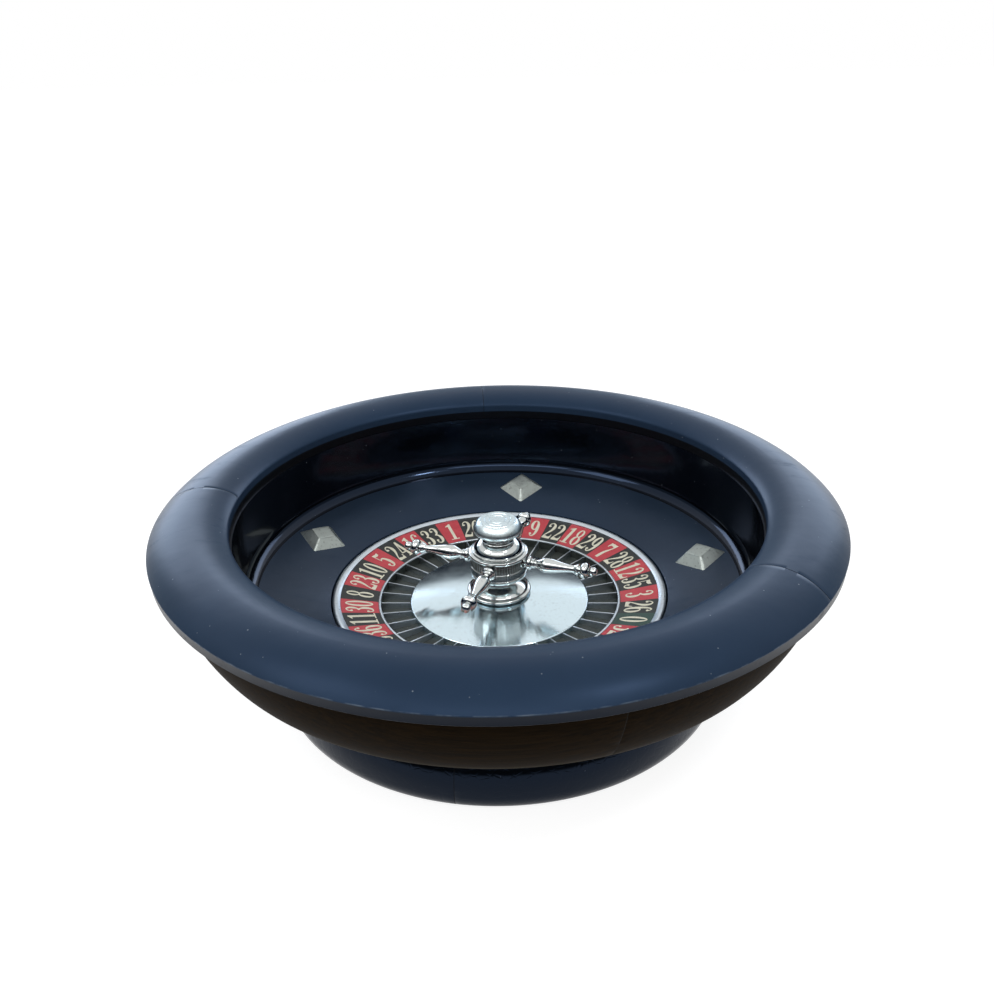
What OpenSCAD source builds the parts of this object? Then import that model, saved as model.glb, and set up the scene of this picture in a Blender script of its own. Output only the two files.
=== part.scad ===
// Table-top roulette wheel: an ebonised wooden bowl on a turned foot, with a rotor that spins in it.
// Millimetres, +Z up. The origin is on the wheel's axis, at the underside of the baize pad.
// Azimuths run anticlockwise from above and start at -Y, the side that faces the player.

/* [Foot] */
// Thickness of the baize pad
pad_t = 1; // [0.6:0.1:3]
// How far the pad's edge stays inside the foot's contact ring
pad_inset = 3.6; // [1:0.2:10]
// Height of the foot above the pad
foot_h = 25; // [20:1:34]
// Height of the foot's widest line above the pad
foot_belly_z = 7.5; // [4:0.5:12]
// How far the foot stands out past the neck of the body
foot_overhang = 9.8; // [6:0.2:16]
// How far the foot draws in from its widest line down to its contact ring
foot_tuck = 4.2; // [2:0.2:8]
// Azimuth of the glue joint of the foot
foot_joint = -10.8; // [-40:0.1:40]

/* [Bowl body] */
// Width of the body's neck outside the rotor well
neck_w = 21; // [16:0.5:28]
// Height of the skirt's lower edge above the foot
skirt_rise = 26.3; // [22:0.1:30]
// Height of the skirt, from its lower edge to the rim
skirt_h = 42.6; // [36:0.2:56]
// How far the skirt flares out on its way up
skirt_flare = 20; // [12:0.5:24]
// Roundness of the skirt, where 1 is straight and 2 is a quarter ellipse
skirt_bulge = 1.42; // [1.1:0.02:2]
// Azimuth of the glue joint of the body
body_joint = 16.7; // [-40:0.1:40]

/* [Rim] */
// Radius of the rim's inner lip past the apron
lip_reach = 9; // [7:0.5:14]
// Width of the rim, from its inner lip to its outer arris
rim_w = 40; // [37:0.5:60]
// How far the rim stands out past the top of the skirt
rim_overhang = 7; // [2:0.2:9]
// Height of the rim's outer edge band
band_h = 5.3; // [3:0.1:9]
// How far the edge band draws in at its bottom
band_draft = 0.5; // [0:0.1:1.5]
// Height of the rim's crown above the arris
crown_h = 9.8; // [6:0.2:14]
// Distance of the crown from the inner lip
crown_in = 16.7; // [12:0.1:22]
// Height of the crown above the inner lip
lip_drop = 7.1; // [4:0.1:9]
// Roundness of the rim from its crown to its lip
lip_round = 1.7; // [1.3:0.1:2.4]
// Azimuths of the three glue joints of the rim
rim_joint_angles = [-93.1, 54.3, 183];

/* [Track and apron] */
// Thickness of the track wall at its top
track_t = 6.6; // [4:0.2:10]
// Step between the rim's lip and the top of the track wall
track_step = 0.6; // [0.2:0.1:1.5]
// How far the track wall draws in from its top to the cove
track_draft = 1.9; // [0:0.1:3]
// Radius of the cove at the foot of the wall
cove_r = 8; // [5:0.5:9.5]
// Width of the apron
apron_w = 38; // [34:0.5:52]
// Slope of the apron, as rise over run
apron_slope = 0.26; // [0.12:0.01:0.32]
// Thickness of the apron at the rotor well
apron_t = 5.6; // [4:0.2:8]

/* [Deflectors] */
// Azimuth and twist of each deflector, as set by hand on the bowl
deflector_angles = [[98, -11], [172, 4], [245, 13], [317, 0], [27, 0]];
// Distance of a deflector's outer corner from the edge of the apron
deflector_margin = 0.4; // [0.3:0.1:4]
// Side of a deflector's base
deflector_base = 20.6; // [16:0.2:22]
// Side of a deflector's top
deflector_top = 10.8; // [6:0.2:14]
// Height of a deflector
deflector_h = 5; // [3:0.2:8]
// Diameter of a deflector's pin
pin_d = 2; // [1.4:0.1:3]
// Length of a deflector's pin
pin_l = 6; // [5:0.5:8]

/* [Rotor] */
// Radius of the rotor
rotor_r = 92.2; // [84:0.2:110]
// Running gap between the rotor's edge and the bowl
rotor_gap = 0.8; // [0.5:0.1:2]
// Thickness of the rotor disc
disc_t = 5; // [4:0.2:8]
// How far the rotor disc's edge stays inside the outer band
disc_inset = 0.6; // [0.2:0.1:1.5]
// Gap between the rotor disc and the floor board
under_gap = 2.6; // [2.4:0.1:5]
// Width of the outer band
band_w = 4.2; // [3:0.1:7]
// Height of the outer band's top above the number ring beside it
band_proud = 1.6; // [0.5:0.1:2.5]
// Width of the number ring
number_w = 20.5; // [16:0.1:26]
// Slope of the number ring, as rise over run
number_slope = 0.199; // [0.05:0.005:0.25]
// Thickness of the number plate
plate_t = 0.6; // [0.4:0.1:1]
// Width of the thin inner band
inner_band_w = 1.5; // [1:0.1:3]
// Height of the inner band above the pocket floor
pocket_rise = 5.2; // [4.6:0.1:8]
// Radial length of a pocket
pocket_l = 16.2; // [12:0.2:20]
// Thickness of the pocket floor
pocket_floor_t = 0.4; // [0.3:0.1:1]
// Number of pockets
pockets = 37; // [24:1:38]
// Azimuth of the first fret
pocket_phase = -56.1; // [-180:0.1:180]
// Thickness of a fret
fret_t = 1; // [0.6:0.1:1.6]
// Height of a fret at its outer end
fret_h = 4.3; // [3.6:0.1:5]
// Height of a fret at its inner end
fret_inner_h = 3.1; // [2:0.1:4]
// Height of the dish's edge above the pocket floor
dish_edge_h = 3.4; // [3:0.1:5]
// Rise of the dish from its edge to the turret
dish_rise = 3.9; // [1:0.1:5]

/* [Bearing] */
// Diameter of the spindle
spindle_d = 8; // [6:0.5:10]
// Radial running clearance of the spindle in its bush
spindle_fit = 0.04; // [0.02:0.01:0.08]
// Diameter of the pivot ball
pivot_d = 5; // [3:0.5:5]
// Radial thickness of the bush
bush_t = 2.6; // [2:0.1:3]
// Thickness of the bush above its bore
bush_cap_t = 5; // [4.5:0.5:7]
// Diameter of the bush's flange
bush_flange_d = 28; // [24:1:40]
// Diameter of the spindle's plate
spindle_plate_d = 40; // [34:1:60]
// Thickness of the floor board
floor_t = 5; // [4.5:0.5:8]

/* [Turret] */
// Radius of the turret's pedestal
pedestal_r = 15.6; // [13:0.1:16]
// Radius of the turret's lower flange
skirt_ring_r = 17.7; // [15:0.1:22]
// Height of the turret's base
turret_base_h = 11.7; // [11:0.1:14]
// Radius of the hub
hub_r = 15.4; // [13:0.1:18]
// Height of the hub
hub_h = 12.2; // [11:0.1:16]
// Radius of the cap's flange
cap_r = 16.4; // [14:0.1:20]
// Height of the cap
cap_h = 12; // [10:0.1:18]
// Radius of the knob
knob_r = 13.4; // [11:0.1:16]
// Height of the knob
knob_h = 8.6; // [7.5:0.1:12]
// Diameter of the stud through the turret
stud_d = 5; // [3:0.5:5]

/* [Handles] */
// Number of handles
handle_count = 4; // [4]
// Azimuth of the first handle
handle_phase = 71.4; // [0:0.1:90]
// Length of a handle, from the hub to its tip
handle_l = 40; // [32:0.5:45]
// Height of the handles' axis above the hub's bottom
handle_z = 8.6; // [6:0.1:8.8]
// Radius of the collar at a handle's root
handle_collar_r = 3.9; // [3:0.1:4.4]
// Radius of a handle's vase
handle_vase_r = 4.2; // [3:0.1:5]
// Radius of a handle's neck
handle_neck_r = 2.1; // [1.6:0.1:2.4]
// Radius of a handle's end ball
handle_ball_r = 4.5; // [3:0.1:5.2]
// Diameter of the shank in the hub
shank_d = 3.6; // [2.4:0.1:4]
// Length of the shank in the hub
shank_l = 8; // [5:0.5:9]

/* [Fasteners] */
// Number of screws through the foot
foot_screw_count = 6; // [6]
// Diameter of a foot screw's shank
foot_screw_d = 4; // [3:0.5:5]
// Number of screws under the number ring
ring_screw_count = 6; // [6]
// Diameter of a small screw's shank
small_screw_d = 2.6; // [2:0.1:3]
// Clearance between a seated piece and its hole
seat_fit = 0.05; // [0.03:0.01:0.1]

/* [Hidden] */
$fn = 96;
lacquer = "#2b3a4c";
deep_black = "#14171c";
brown_black = "#2a2212";
nickel = "#c8ccd0";
steps = 12;

// Radii of the bowl, from the well outwards
well_r = rotor_r + rotor_gap;
neck_r = well_r + neck_w;
apron_r = well_r + apron_w;
lip_r = apron_r + lip_reach;
rim_r = lip_r + rim_w;
crown_r = lip_r + crown_in;
track_out_r = lip_r + track_t - track_step;
wall_r = lip_r - track_step - track_draft;
skirt_top_r = rim_r - rim_overhang;
skirt_r = skirt_top_r - skirt_flare;
foot_r = neck_r + foot_overhang;
foot_contact_r = foot_r - foot_tuck;

// Heights of the bowl, from the table upwards
foot_top = pad_t + foot_h;
floor_top = foot_top + floor_t;
skirt_z = foot_top + skirt_rise;
body_top = skirt_z + skirt_h;
arris_z = body_top + band_h;
crown_z = arris_z + crown_h;
lip_z = crown_z - lip_drop;

// Heights of the rotor
disc_z = floor_top + under_gap;
disc_top = disc_z + disc_t;
pocket_z = disc_top + pocket_floor_t;
inner_band_z = pocket_z + pocket_rise;
number_in_r = rotor_r - band_w - number_w;
number_out_r = rotor_r - band_w;
inner_band_crown = 0.4;
fret_gap = 0.15;
number_in_z = inner_band_z - inner_band_crown;
number_out_z = number_in_z + number_w * number_slope;
rotor_edge_z = number_out_z + band_proud;
cone_in_r = number_in_r - inner_band_w;
dish_r = cone_in_r - pocket_l;
dish_z = pocket_z + dish_edge_h;
disc_r = rotor_r - disc_inset;
band_skirt_h = 4;
band_seat_z = number_out_z - band_skirt_h;
band_round_w = 1.6;
band_round_h = 1;

// The apron starts just under the rotor's edge, and its bottom is flat
apron_drop = 0.2;
apron_in_z = rotor_edge_z - apron_drop;
apron_bottom = apron_in_z - apron_t;
apron_out_z = apron_in_z + apron_w * apron_slope;
track_foot_t = 5.5;
track_bottom = apron_out_z - track_foot_t;
apron_angle = atan(apron_slope);

// Cove: an arc that is tangent to the apron's slope and to the wall
cove = min(cove_r, (wall_r - apron_r) / (1 - sin(apron_angle)));
cove_cz = apron_z(wall_r) + cove * (1 / cos(apron_angle) - tan(apron_angle));
cove_cr = wall_r - cove;

// Underside of the body
under_fillet_r = 2;
under_fillet_h = 3;
skirt_lip = 2.4;

// Deflectors and their pins
deflector_at = apron_r - deflector_margin - deflector_base * sqrt(2) / 2;
pin_top = deflector_h / 2;
pin_bottom = pin_top - pin_l;
pin_r = pin_d / 2;

// Bearing
spindle_r = spindle_d / 2;
bore_r = spindle_r + spindle_fit;
bush_r = bore_r + bush_t;
collar_w = 3.5;
collar_r = spindle_r + collar_w;
flange_proud = 0.5;
flange_gap = 0.3;
flange_z = disc_z - flange_proud;
flange_t = 1.5;
collar_top = flange_z - flange_gap;
flange_r = bush_flange_d / 2;
pivot_r = pivot_d / 2;
plate_thick = 2.5;
nut_recess_r = 13;
nut_recess_h = 14;
nut_t = 5;
nut_across = 16;
washer_t = 1.5;
washer_r = 11;
washer_z = pad_t + nut_recess_h - washer_t;
nut_z = washer_z - nut_t;
spindle_tail = 2;
spindle_bottom = nut_z - spindle_tail;
spindle_chamfer = 0.8;

// Turret, and the bearing that reaches up into it
turret_z = dish_z + dish_rise;
turret_wall = 2.6;
turret_waist_r = bush_r + turret_wall;
hub_z = turret_z + turret_base_h;
bush_roof_t = 1.2;
bush_top = hub_z - bush_roof_t;
bush_bore_top = bush_top - bush_cap_t;
pivot_z = bush_bore_top - flange_gap - pivot_r;
pivot_stand = 1;
spindle_top = pivot_z - pivot_stand;
cap_z = hub_z + hub_h;
knob_z = cap_z + cap_h;
knob_top = knob_z + knob_h;
stud_r = stud_d / 2;
stud_floor_t = 1;
stud_bottom = bush_bore_top + stud_floor_t;
knob_crown_t = 3.5;
stud_top = knob_top - knob_crown_t;
handle_axis_z = hub_z + handle_z;

// Handles, measured outwards from the hub
root_gap = 0.15;
collar_in = cap_r - hub_r + 0.2;
collar_l = 2.3;
collar_round = 0.7;
ring_l = 0.8;
ring_pitch = 1;
ring_in = collar_in + collar_l + 0.2;
vase_in = ring_in + 2 * ring_pitch;
vase_z = vase_in + 6.2;
tip_l = 4.2;
tip_r = 2.6;
ball_l = 4.9;
ball_in = handle_l - tip_l - ball_l;
flare_l = 3.5;
flare_w = 1.2;
flare_gap = 0.8;
flare_in = ball_in - flare_gap - flare_l;
shank_r = shank_d / 2;

// Fasteners
foot_screw_r = foot_screw_d / 2;
foot_screw_at = (well_r + neck_r) / 2;
foot_screw_head_r = foot_screw_r * 2;
foot_screw_head_t = 3;
foot_screw_sink = 6;
foot_screw_cover = 4;
foot_screw_phase = 10;
foot_screw_length = apron_bottom - foot_screw_cover - pad_t - foot_screw_sink;
small_r = small_screw_d / 2;
small_head_r = small_r * 2;
small_head_t = 1.4;
ring_screw_at = (number_in_r + number_out_r) / 2;
screw_cover = 1.5;
ring_screw_l = number_in_z - plate_t - screw_cover - disc_z;
plate_screw_at = (collar_r + spindle_plate_d / 2) / 2;
plate_screw_l = floor_t - 0.5;
bush_screw_at = (bush_r + flange_r) / 2;
bush_screw_l = disc_z + disc_t - screw_cover - flange_z;
small_count = 3;

// Height of the apron's surface at a radius
function apron_z(r) = apron_in_z + (r - well_r) * apron_slope;
// Height of the number plate's top at a radius
function number_z(r) = number_in_z + (r - number_in_r) * number_slope;
// Points on a smooth S between two radii
function ease(r0, z0, r1, z1) =
    [for (i = [0:steps]) [r0 + (r1 - r0) * (1 - cos(180 * i / steps)) / 2, z0 + (z1 - z0) * i / steps]];
// Points on a half-round bead, or on a cove where the bulge is negative
function bead(r, z0, z1, bulge) =
    [for (i = [0:steps]) let (a = 180 * i / steps)
        [r + bulge * sin(a), (z0 + z1) / 2 - (z1 - z0) / 2 * cos(a)]];
// Points on a quarter of a rounded curve, from (r0, z0) upright to (r1, z1) level
function quarter(r0, z0, r1, z1, roundness) =
    [for (i = [0:steps]) let (a = 90 * i / steps)
        [r1 + (r0 - r1) * pow(cos(a), 2 / roundness), z0 + (z1 - z0) * pow(sin(a), 2 / roundness)]];
// The same points from the other end
function reversed(points) = [for (i = [len(points) - 1:-1:0]) points[i]];

// Turns an outline of [radius, height] points round the wheel's axis
module turned(points) {
    rotate_extrude()
        polygon(points);
}

// Copies its children round the axis
module around(count, phase) {
    for (i = [0:count - 1])
        rotate([0, 0, phase + i * 360 / count])
            children();
}

// A wedge of the wheel between two azimuths less than half a turn apart
module wedge(from, to) {
    far = rim_r * 2;
    linear_extrude(height = crown_z * 2)
        polygon(concat([[0, 0]], [for (i = [0:4]) let (a = from - 90 + (to - from) * i / 4)
            [far * cos(a), far * sin(a)]]));
}

// The half of space on one side of an upright plane through the axis
module half_space(joint, side) {
    size = rim_r * 4;
    rotate([0, 0, joint - 90])
        translate([-size / 2, side > 0 ? 0 : -size, -1])
            cube([size, size, crown_z * 2]);
}

// A countersunk wood screw, with its head's flat face at z = 0 and its shank above it
module wood_screw(shank_r, head_r, head_t, length) {
    point_r = 0.3;
    turned([
        [0, 0], [head_r, 0], [shank_r, head_t],
        [shank_r, length - shank_r], [point_r, length], [0, length]
    ]);
}

// The hole that the same screw sits in, open at z = 0
module screw_hole(shank_r, head_r, head_t, length, sink) {
    fit = seat_fit;
    translate([0, 0, -sink - 1])
        cylinder(r = head_r + fit, h = sink + 1);
    cylinder(r1 = head_r + fit, r2 = shank_r + fit, h = head_t);
    translate([0, 0, head_t])
        cylinder(r = shank_r + fit, h = length - head_t + fit);
}

module foot_screw_places() {
    around(foot_screw_count, foot_joint + foot_screw_phase)
        translate([foot_screw_at, 0, pad_t + foot_screw_sink])
            children();
}

module foot_screw_holes() {
    foot_screw_places()
        screw_hole(foot_screw_r, foot_screw_head_r, foot_screw_head_t, foot_screw_length, foot_screw_sink);
}

// Baize pad under the foot
module baize_pad() {
    color("#3b4a35")
        cylinder(r = foot_contact_r - pad_inset, h = pad_t);
}

// The whole foot before it is cut at its glue joint
module foot_blank() {
    belly = pad_t + foot_belly_z;
    difference() {
        turned(concat(
            [[0, pad_t]],
            reversed(quarter(foot_r, belly, foot_contact_r, pad_t, 2)),
            quarter(foot_r, belly, neck_r + 1, foot_top, 2.4),
            [[0, foot_top]]
        ));
        translate([0, 0, pad_t - 1])
            cylinder(r = nut_recess_r, h = nut_recess_h + 1);
        cylinder(r = spindle_r + seat_fit, h = foot_top + 1);
        foot_screw_holes();
    }
}

module foot_left() {
    color(deep_black)
        intersection() {
            foot_blank();
            half_space(foot_joint, -1);
        }
}

module foot_right() {
    color(deep_black)
        intersection() {
            foot_blank();
            half_space(foot_joint, 1);
        }
}

// The whole bowl body before it is cut at its glue joint
module body_blank() {
    difference() {
        turned(concat(
            [[well_r, foot_top], [neck_r, foot_top], [neck_r + under_fillet_r, foot_top + under_fillet_h]],
            [[skirt_r - skirt_lip, skirt_z - skirt_lip]],
            reversed(quarter(skirt_top_r, body_top, skirt_r, skirt_z, skirt_bulge)),
            [[track_out_r, body_top], [track_out_r, track_bottom], [apron_r, track_bottom]],
            [[apron_r, apron_bottom], [well_r, apron_bottom]]
        ));
        foot_screw_holes();
    }
}

module body_left() {
    color(brown_black)
        intersection() {
            body_blank();
            half_space(body_joint, -1);
        }
}

module body_right() {
    color(brown_black)
        intersection() {
            body_blank();
            half_space(body_joint, 1);
        }
}

// One glued segment of the rim
module rim_segment(from, to) {
    crown_arc_r = ((rim_r - crown_r) * (rim_r - crown_r) + crown_h * crown_h) / (2 * crown_h);
    crown_angle = asin((rim_r - crown_r) / crown_arc_r);
    color(lacquer)
        intersection() {
            turned(concat(
                [[lip_r, body_top], [rim_r - band_draft, body_top]],
                [for (i = [0:steps]) let (a = crown_angle * (1 - i / steps))
                    [crown_r + crown_arc_r * sin(a), crown_z - crown_arc_r * (1 - cos(a))]],
                reversed(quarter(lip_r, lip_z, crown_r, crown_z, lip_round))
            ));
            wedge(from, to);
        }
}

module rim_front() {
    rim_segment(rim_joint_angles[0], rim_joint_angles[1]);
}

module rim_right() {
    rim_segment(rim_joint_angles[1], rim_joint_angles[2]);
}

module rim_left() {
    rim_segment(rim_joint_angles[2], rim_joint_angles[0] + 360);
}

// Upright wall with the cove that the ball runs along
module track_ring() {
    color(deep_black)
        turned(concat(
            [[apron_r, track_bottom], [track_out_r, track_bottom], [track_out_r, body_top]],
            [[lip_r - track_step, body_top], [wall_r, cove_cz]],
            [for (i = [0:steps]) let (a = -(90 - apron_angle) * i / steps)
                [cove_cr + cove * cos(a), cove_cz + cove * sin(a)]],
            [[apron_r, apron_out_z]]
        ));
}

// Moves its children to a deflector's place on the apron, with z along the apron's normal
module at_deflector(index) {
    place = deflector_angles[index];
    rotate([0, 0, place[0] - 90])
        translate([deflector_at, 0, apron_z(deflector_at)])
            rotate([0, -apron_angle, 0])
                rotate([0, 0, 45 + place[1]])
                    children();
}

// The conical board between the wall and the rotor well
module apron() {
    color(lacquer)
        difference() {
            turned([
                [well_r, apron_bottom], [apron_r, apron_bottom],
                [apron_r, apron_out_z], [well_r, apron_in_z]
            ]);
            for (i = [0:len(deflector_angles) - 1])
                at_deflector(i)
                    translate([0, 0, pin_bottom - seat_fit])
                        cylinder(r = pin_r + seat_fit, h = pin_l, $fn = 32);
        }
}

// Everything under the apron's surface, which the deflectors are cut to
module under_apron() {
    turned([
        [well_r / 2, 0], [lip_r, 0],
        [lip_r, apron_z(lip_r)], [well_r / 2, apron_z(well_r / 2)]
    ]);
}

// A prism with a trapezium section, along Y
module ridge() {
    sink = 1.5;
    flare = (deflector_base - deflector_top) / deflector_h;
    low = deflector_base + flare * sink;
    rotate([90, 0, 0])
        linear_extrude(height = low, center = true)
            polygon([
                [-low / 2, -sink], [low / 2, -sink],
                [deflector_top / 2, deflector_h], [-deflector_top / 2, deflector_h]
            ]);
}

// One four-sided deflector, hollowed for its pin and seated on the cone
module deflector(index) {
    color("#a9ada6")
        difference() {
            at_deflector(index)
                intersection() {
                    ridge();
                    rotate([0, 0, 90])
                        ridge();
                }
            under_apron();
            at_deflector(index)
                translate([0, 0, pin_bottom])
                    cylinder(r = pin_r + seat_fit, h = pin_l + seat_fit, $fn = 32);
        }
}

// One pin for each deflector
module deflector_pins() {
    color("#8c8f90")
        for (i = [0:len(deflector_angles) - 1])
            at_deflector(i)
                translate([0, 0, pin_bottom])
                    cylinder(r = pin_r, h = pin_l, $fn = 32);
}

// Places of the screws in the spindle plate
module plate_screw_places() {
    around(small_count, 30)
        translate([plate_screw_at, 0, floor_top])
            mirror([0, 0, 1])
                children();
}

// Floor of the rotor well
module floor_board() {
    color("#3a2c1c")
        difference() {
            translate([0, 0, foot_top])
                cylinder(r = well_r - seat_fit, h = floor_t);
            translate([0, 0, foot_top - 1])
                cylinder(r = spindle_r + seat_fit, h = floor_t + 2);
            translate([0, 0, floor_top - plate_thick])
                cylinder(d = spindle_plate_d + 2 * seat_fit, h = plate_thick + 1);
            plate_screw_places()
                screw_hole(small_r, small_head_r, small_head_t, plate_screw_l, 0);
        }
}

// Round plate let into the floor board
module spindle_plate() {
    color("#9a8a55")
        difference() {
            translate([0, 0, floor_top - plate_thick])
                cylinder(d = spindle_plate_d, h = plate_thick);
            translate([0, 0, foot_top])
                cylinder(r = spindle_r + seat_fit, h = floor_t + 1);
            plate_screw_places()
                screw_hole(small_r, small_head_r, small_head_t, plate_screw_l, 0);
        }
}

module plate_screws() {
    color("#8f8157")
        plate_screw_places()
            wood_screw(small_r, small_head_r, small_head_t, plate_screw_l);
}

// Steel spindle with a collar, and a cup in its top for the pivot ball
module spindle() {
    color("#8f9498")
        difference() {
            turned([
                [0, spindle_bottom], [spindle_r - spindle_chamfer, spindle_bottom],
                [spindle_r, spindle_bottom + spindle_chamfer],
                [spindle_r, floor_top], [collar_r, floor_top], [collar_r, collar_top],
                [spindle_r, collar_top], [spindle_r, spindle_top], [0, spindle_top]
            ]);
            translate([0, 0, pivot_z])
                sphere(r = pivot_r + seat_fit, $fn = 48);
        }
}

module spindle_washer() {
    color("#8f9498")
        translate([0, 0, washer_z])
            difference() {
                cylinder(r = washer_r, h = washer_t);
                translate([0, 0, -1])
                    cylinder(r = spindle_r + seat_fit, h = washer_t + 2);
            }
}

module spindle_nut() {
    color("#8f9498")
        translate([0, 0, nut_z])
            difference() {
                cylinder(d = nut_across, h = nut_t, $fn = 6);
                translate([0, 0, -1])
                    cylinder(r = spindle_r + seat_fit, h = nut_t + 2);
            }
}

module pivot_ball() {
    color("#d8dcdf")
        translate([0, 0, pivot_z])
            sphere(r = pivot_r, $fn = 48);
}

module foot_screws() {
    color("#8f8157")
        foot_screw_places()
            wood_screw(foot_screw_r, foot_screw_head_r, foot_screw_head_t, foot_screw_length);
}

// Places of the screws that hold the cone ring to the disc, seen from below
module ring_screw_places() {
    around(ring_screw_count, 15)
        translate([ring_screw_at, 0, disc_z])
            children();
}

// Places of the screws that hold the bush's flange to the disc
module bush_screw_places() {
    around(small_count, 45)
        translate([bush_screw_at, 0, flange_z])
            children();
}

// Wooden disc that carries the whole rotor
module rotor_disc() {
    color("#3a2c1c")
        difference() {
            translate([0, 0, disc_z])
                cylinder(r = disc_r, h = disc_t);
            translate([0, 0, disc_z - 1])
                cylinder(r = bush_r + seat_fit, h = disc_t + 2);
            translate([0, 0, disc_z - 1])
                cylinder(r = flange_r + seat_fit, h = flange_z + flange_t - disc_z + 1);
            ring_screw_places()
                screw_hole(small_r, small_head_r, small_head_t, ring_screw_l, 0);
            bush_screw_places()
                screw_hole(small_r, small_head_r, small_head_t, bush_screw_l, 0);
        }
}

// Raised wooden ring under the numbers
module cone_ring() {
    color(deep_black)
        difference() {
            turned([
                [cone_in_r, disc_top], [disc_r, disc_top], [disc_r, band_seat_z],
                [number_out_r, band_seat_z], [number_out_r, number_z(number_out_r) - plate_t],
                [number_in_r, number_z(number_in_r) - plate_t], [cone_in_r, number_in_z - plate_t]
            ]);
            ring_screw_places()
                screw_hole(small_r, small_head_r, small_head_t, ring_screw_l, 0);
        }
}

module ring_screws() {
    color("#8f8157")
        ring_screw_places()
            wood_screw(small_r, small_head_r, small_head_t, ring_screw_l);
}

// Thin conical plate that carries the numbers
module number_plate() {
    color("#b4454c")
        turned([
            [number_in_r, number_z(number_in_r) - plate_t],
            [number_out_r - seat_fit, number_z(number_out_r - seat_fit) - plate_t],
            [number_out_r - seat_fit, number_z(number_out_r - seat_fit)],
            [number_in_r, number_z(number_in_r)]
        ]);
}

// Bright ring round the rotor's edge
module outer_band() {
    color(nickel)
        turned(concat(
            [[number_out_r, band_seat_z], [disc_r, band_seat_z], [rotor_r, band_seat_z + disc_inset]],
            quarter(rotor_r, rotor_edge_z - band_round_h, rotor_r - band_round_w, rotor_edge_z, 2),
            [[number_out_r, (number_out_z + rotor_edge_z) / 2]]
        ));
}

// Thin bright ring between the numbers and the pockets
module inner_band() {
    base = number_in_z - plate_t;
    half_w = (inner_band_w - seat_fit) / 2;
    color(nickel)
        turned(concat(
            [[cone_in_r, base], [cone_in_r + 2 * half_w, base]],
            [for (i = [0:steps]) let (a = 180 * i / steps)
                [cone_in_r + half_w * (1 + cos(a)), inner_band_z - inner_band_crown * (1 - sin(a))]]
        ));
}

module pocket_floor() {
    color("#2f3432")
        turned([
            [dish_r + seat_fit, disc_top], [cone_in_r - seat_fit, disc_top],
            [cone_in_r - seat_fit, pocket_z], [dish_r + seat_fit, pocket_z]
        ]);
}

// One upright fret for each pocket wall
module frets() {
    color(nickel)
        around(pockets, pocket_phase - 90)
            rotate([90, 0, 0])
                linear_extrude(height = fret_t, center = true)
                    polygon([
                        [dish_r + fret_gap, pocket_z], [cone_in_r - fret_gap, pocket_z],
                        [cone_in_r - fret_gap, pocket_z + fret_h],
                        [dish_r + fret_gap, pocket_z + fret_inner_h]
                    ]);
}

// Polished dish in the middle of the rotor, which rises as a low cone to the turret
module centre_dish() {
    edge = 0.4;
    seat_r = pedestal_r + 0.6;
    color(nickel)
        turned([
            [bush_r + seat_fit, disc_top], [dish_r, disc_top], [dish_r, dish_z - edge],
            [dish_r - edge, dish_z], [seat_r, turret_z], [bush_r + seat_fit, turret_z]
        ]);
}

// Flanged bush that turns on the spindle
module bush() {
    color("#b08d4a")
        difference() {
            turned([
                [0, flange_z], [flange_r, flange_z], [flange_r, flange_z + flange_t],
                [bush_r, flange_z + flange_t], [bush_r, bush_top], [0, bush_top]
            ]);
            translate([0, 0, flange_z - 1])
                cylinder(r = bore_r, h = bush_bore_top - flange_z + 1);
            translate([0, 0, stud_bottom - seat_fit])
                cylinder(r = stud_r + seat_fit, h = bush_top - stud_bottom + 1);
            bush_screw_places()
                screw_hole(small_r, small_head_r, small_head_t, bush_screw_l, 0);
        }
}

module bush_screws() {
    color("#8f8157")
        bush_screw_places()
            wood_screw(small_r, small_head_r, small_head_t, bush_screw_l);
}

// Pedestal, lower flange and flared waist of the turret
module turret_base() {
    foot_bead_h = 0.6;
    ring_h = 1.8;
    ring_bulge = 1;
    ring_bottom = turret_z + foot_bead_h + 0.1;
    ring_top = ring_bottom + ring_h;
    waist_bead_z = hub_z - 3.5;
    color(nickel)
        difference() {
            turned(concat(
                [[0, turret_z], [pedestal_r, turret_z]],
                bead(pedestal_r, turret_z + 0.05, turret_z + foot_bead_h, 0.4),
                bead(skirt_ring_r - ring_bulge, ring_bottom, ring_top, ring_bulge),
                reversed(ease(turret_waist_r, waist_bead_z, skirt_ring_r - 1.6, ring_top + 0.2)),
                bead(turret_waist_r, waist_bead_z, waist_bead_z + 1.6, 0.5),
                [[hub_r - 2, hub_z - 1.3], [hub_r - 2, hub_z], [0, hub_z]]
            ));
            translate([0, 0, turret_z - 1])
                cylinder(r = bush_r + seat_fit, h = bush_top - turret_z + 1 + seat_fit);
            cylinder(r = stud_r + seat_fit, h = hub_z + 1);
        }
}

// Moves its children to a handle's root, with z pointing outwards
module at_handle(index) {
    rotate([0, 0, handle_phase + index * 360 / handle_count - 90])
        translate([hub_r, 0, handle_axis_z])
            rotate([0, 90, 0])
                children();
}

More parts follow.
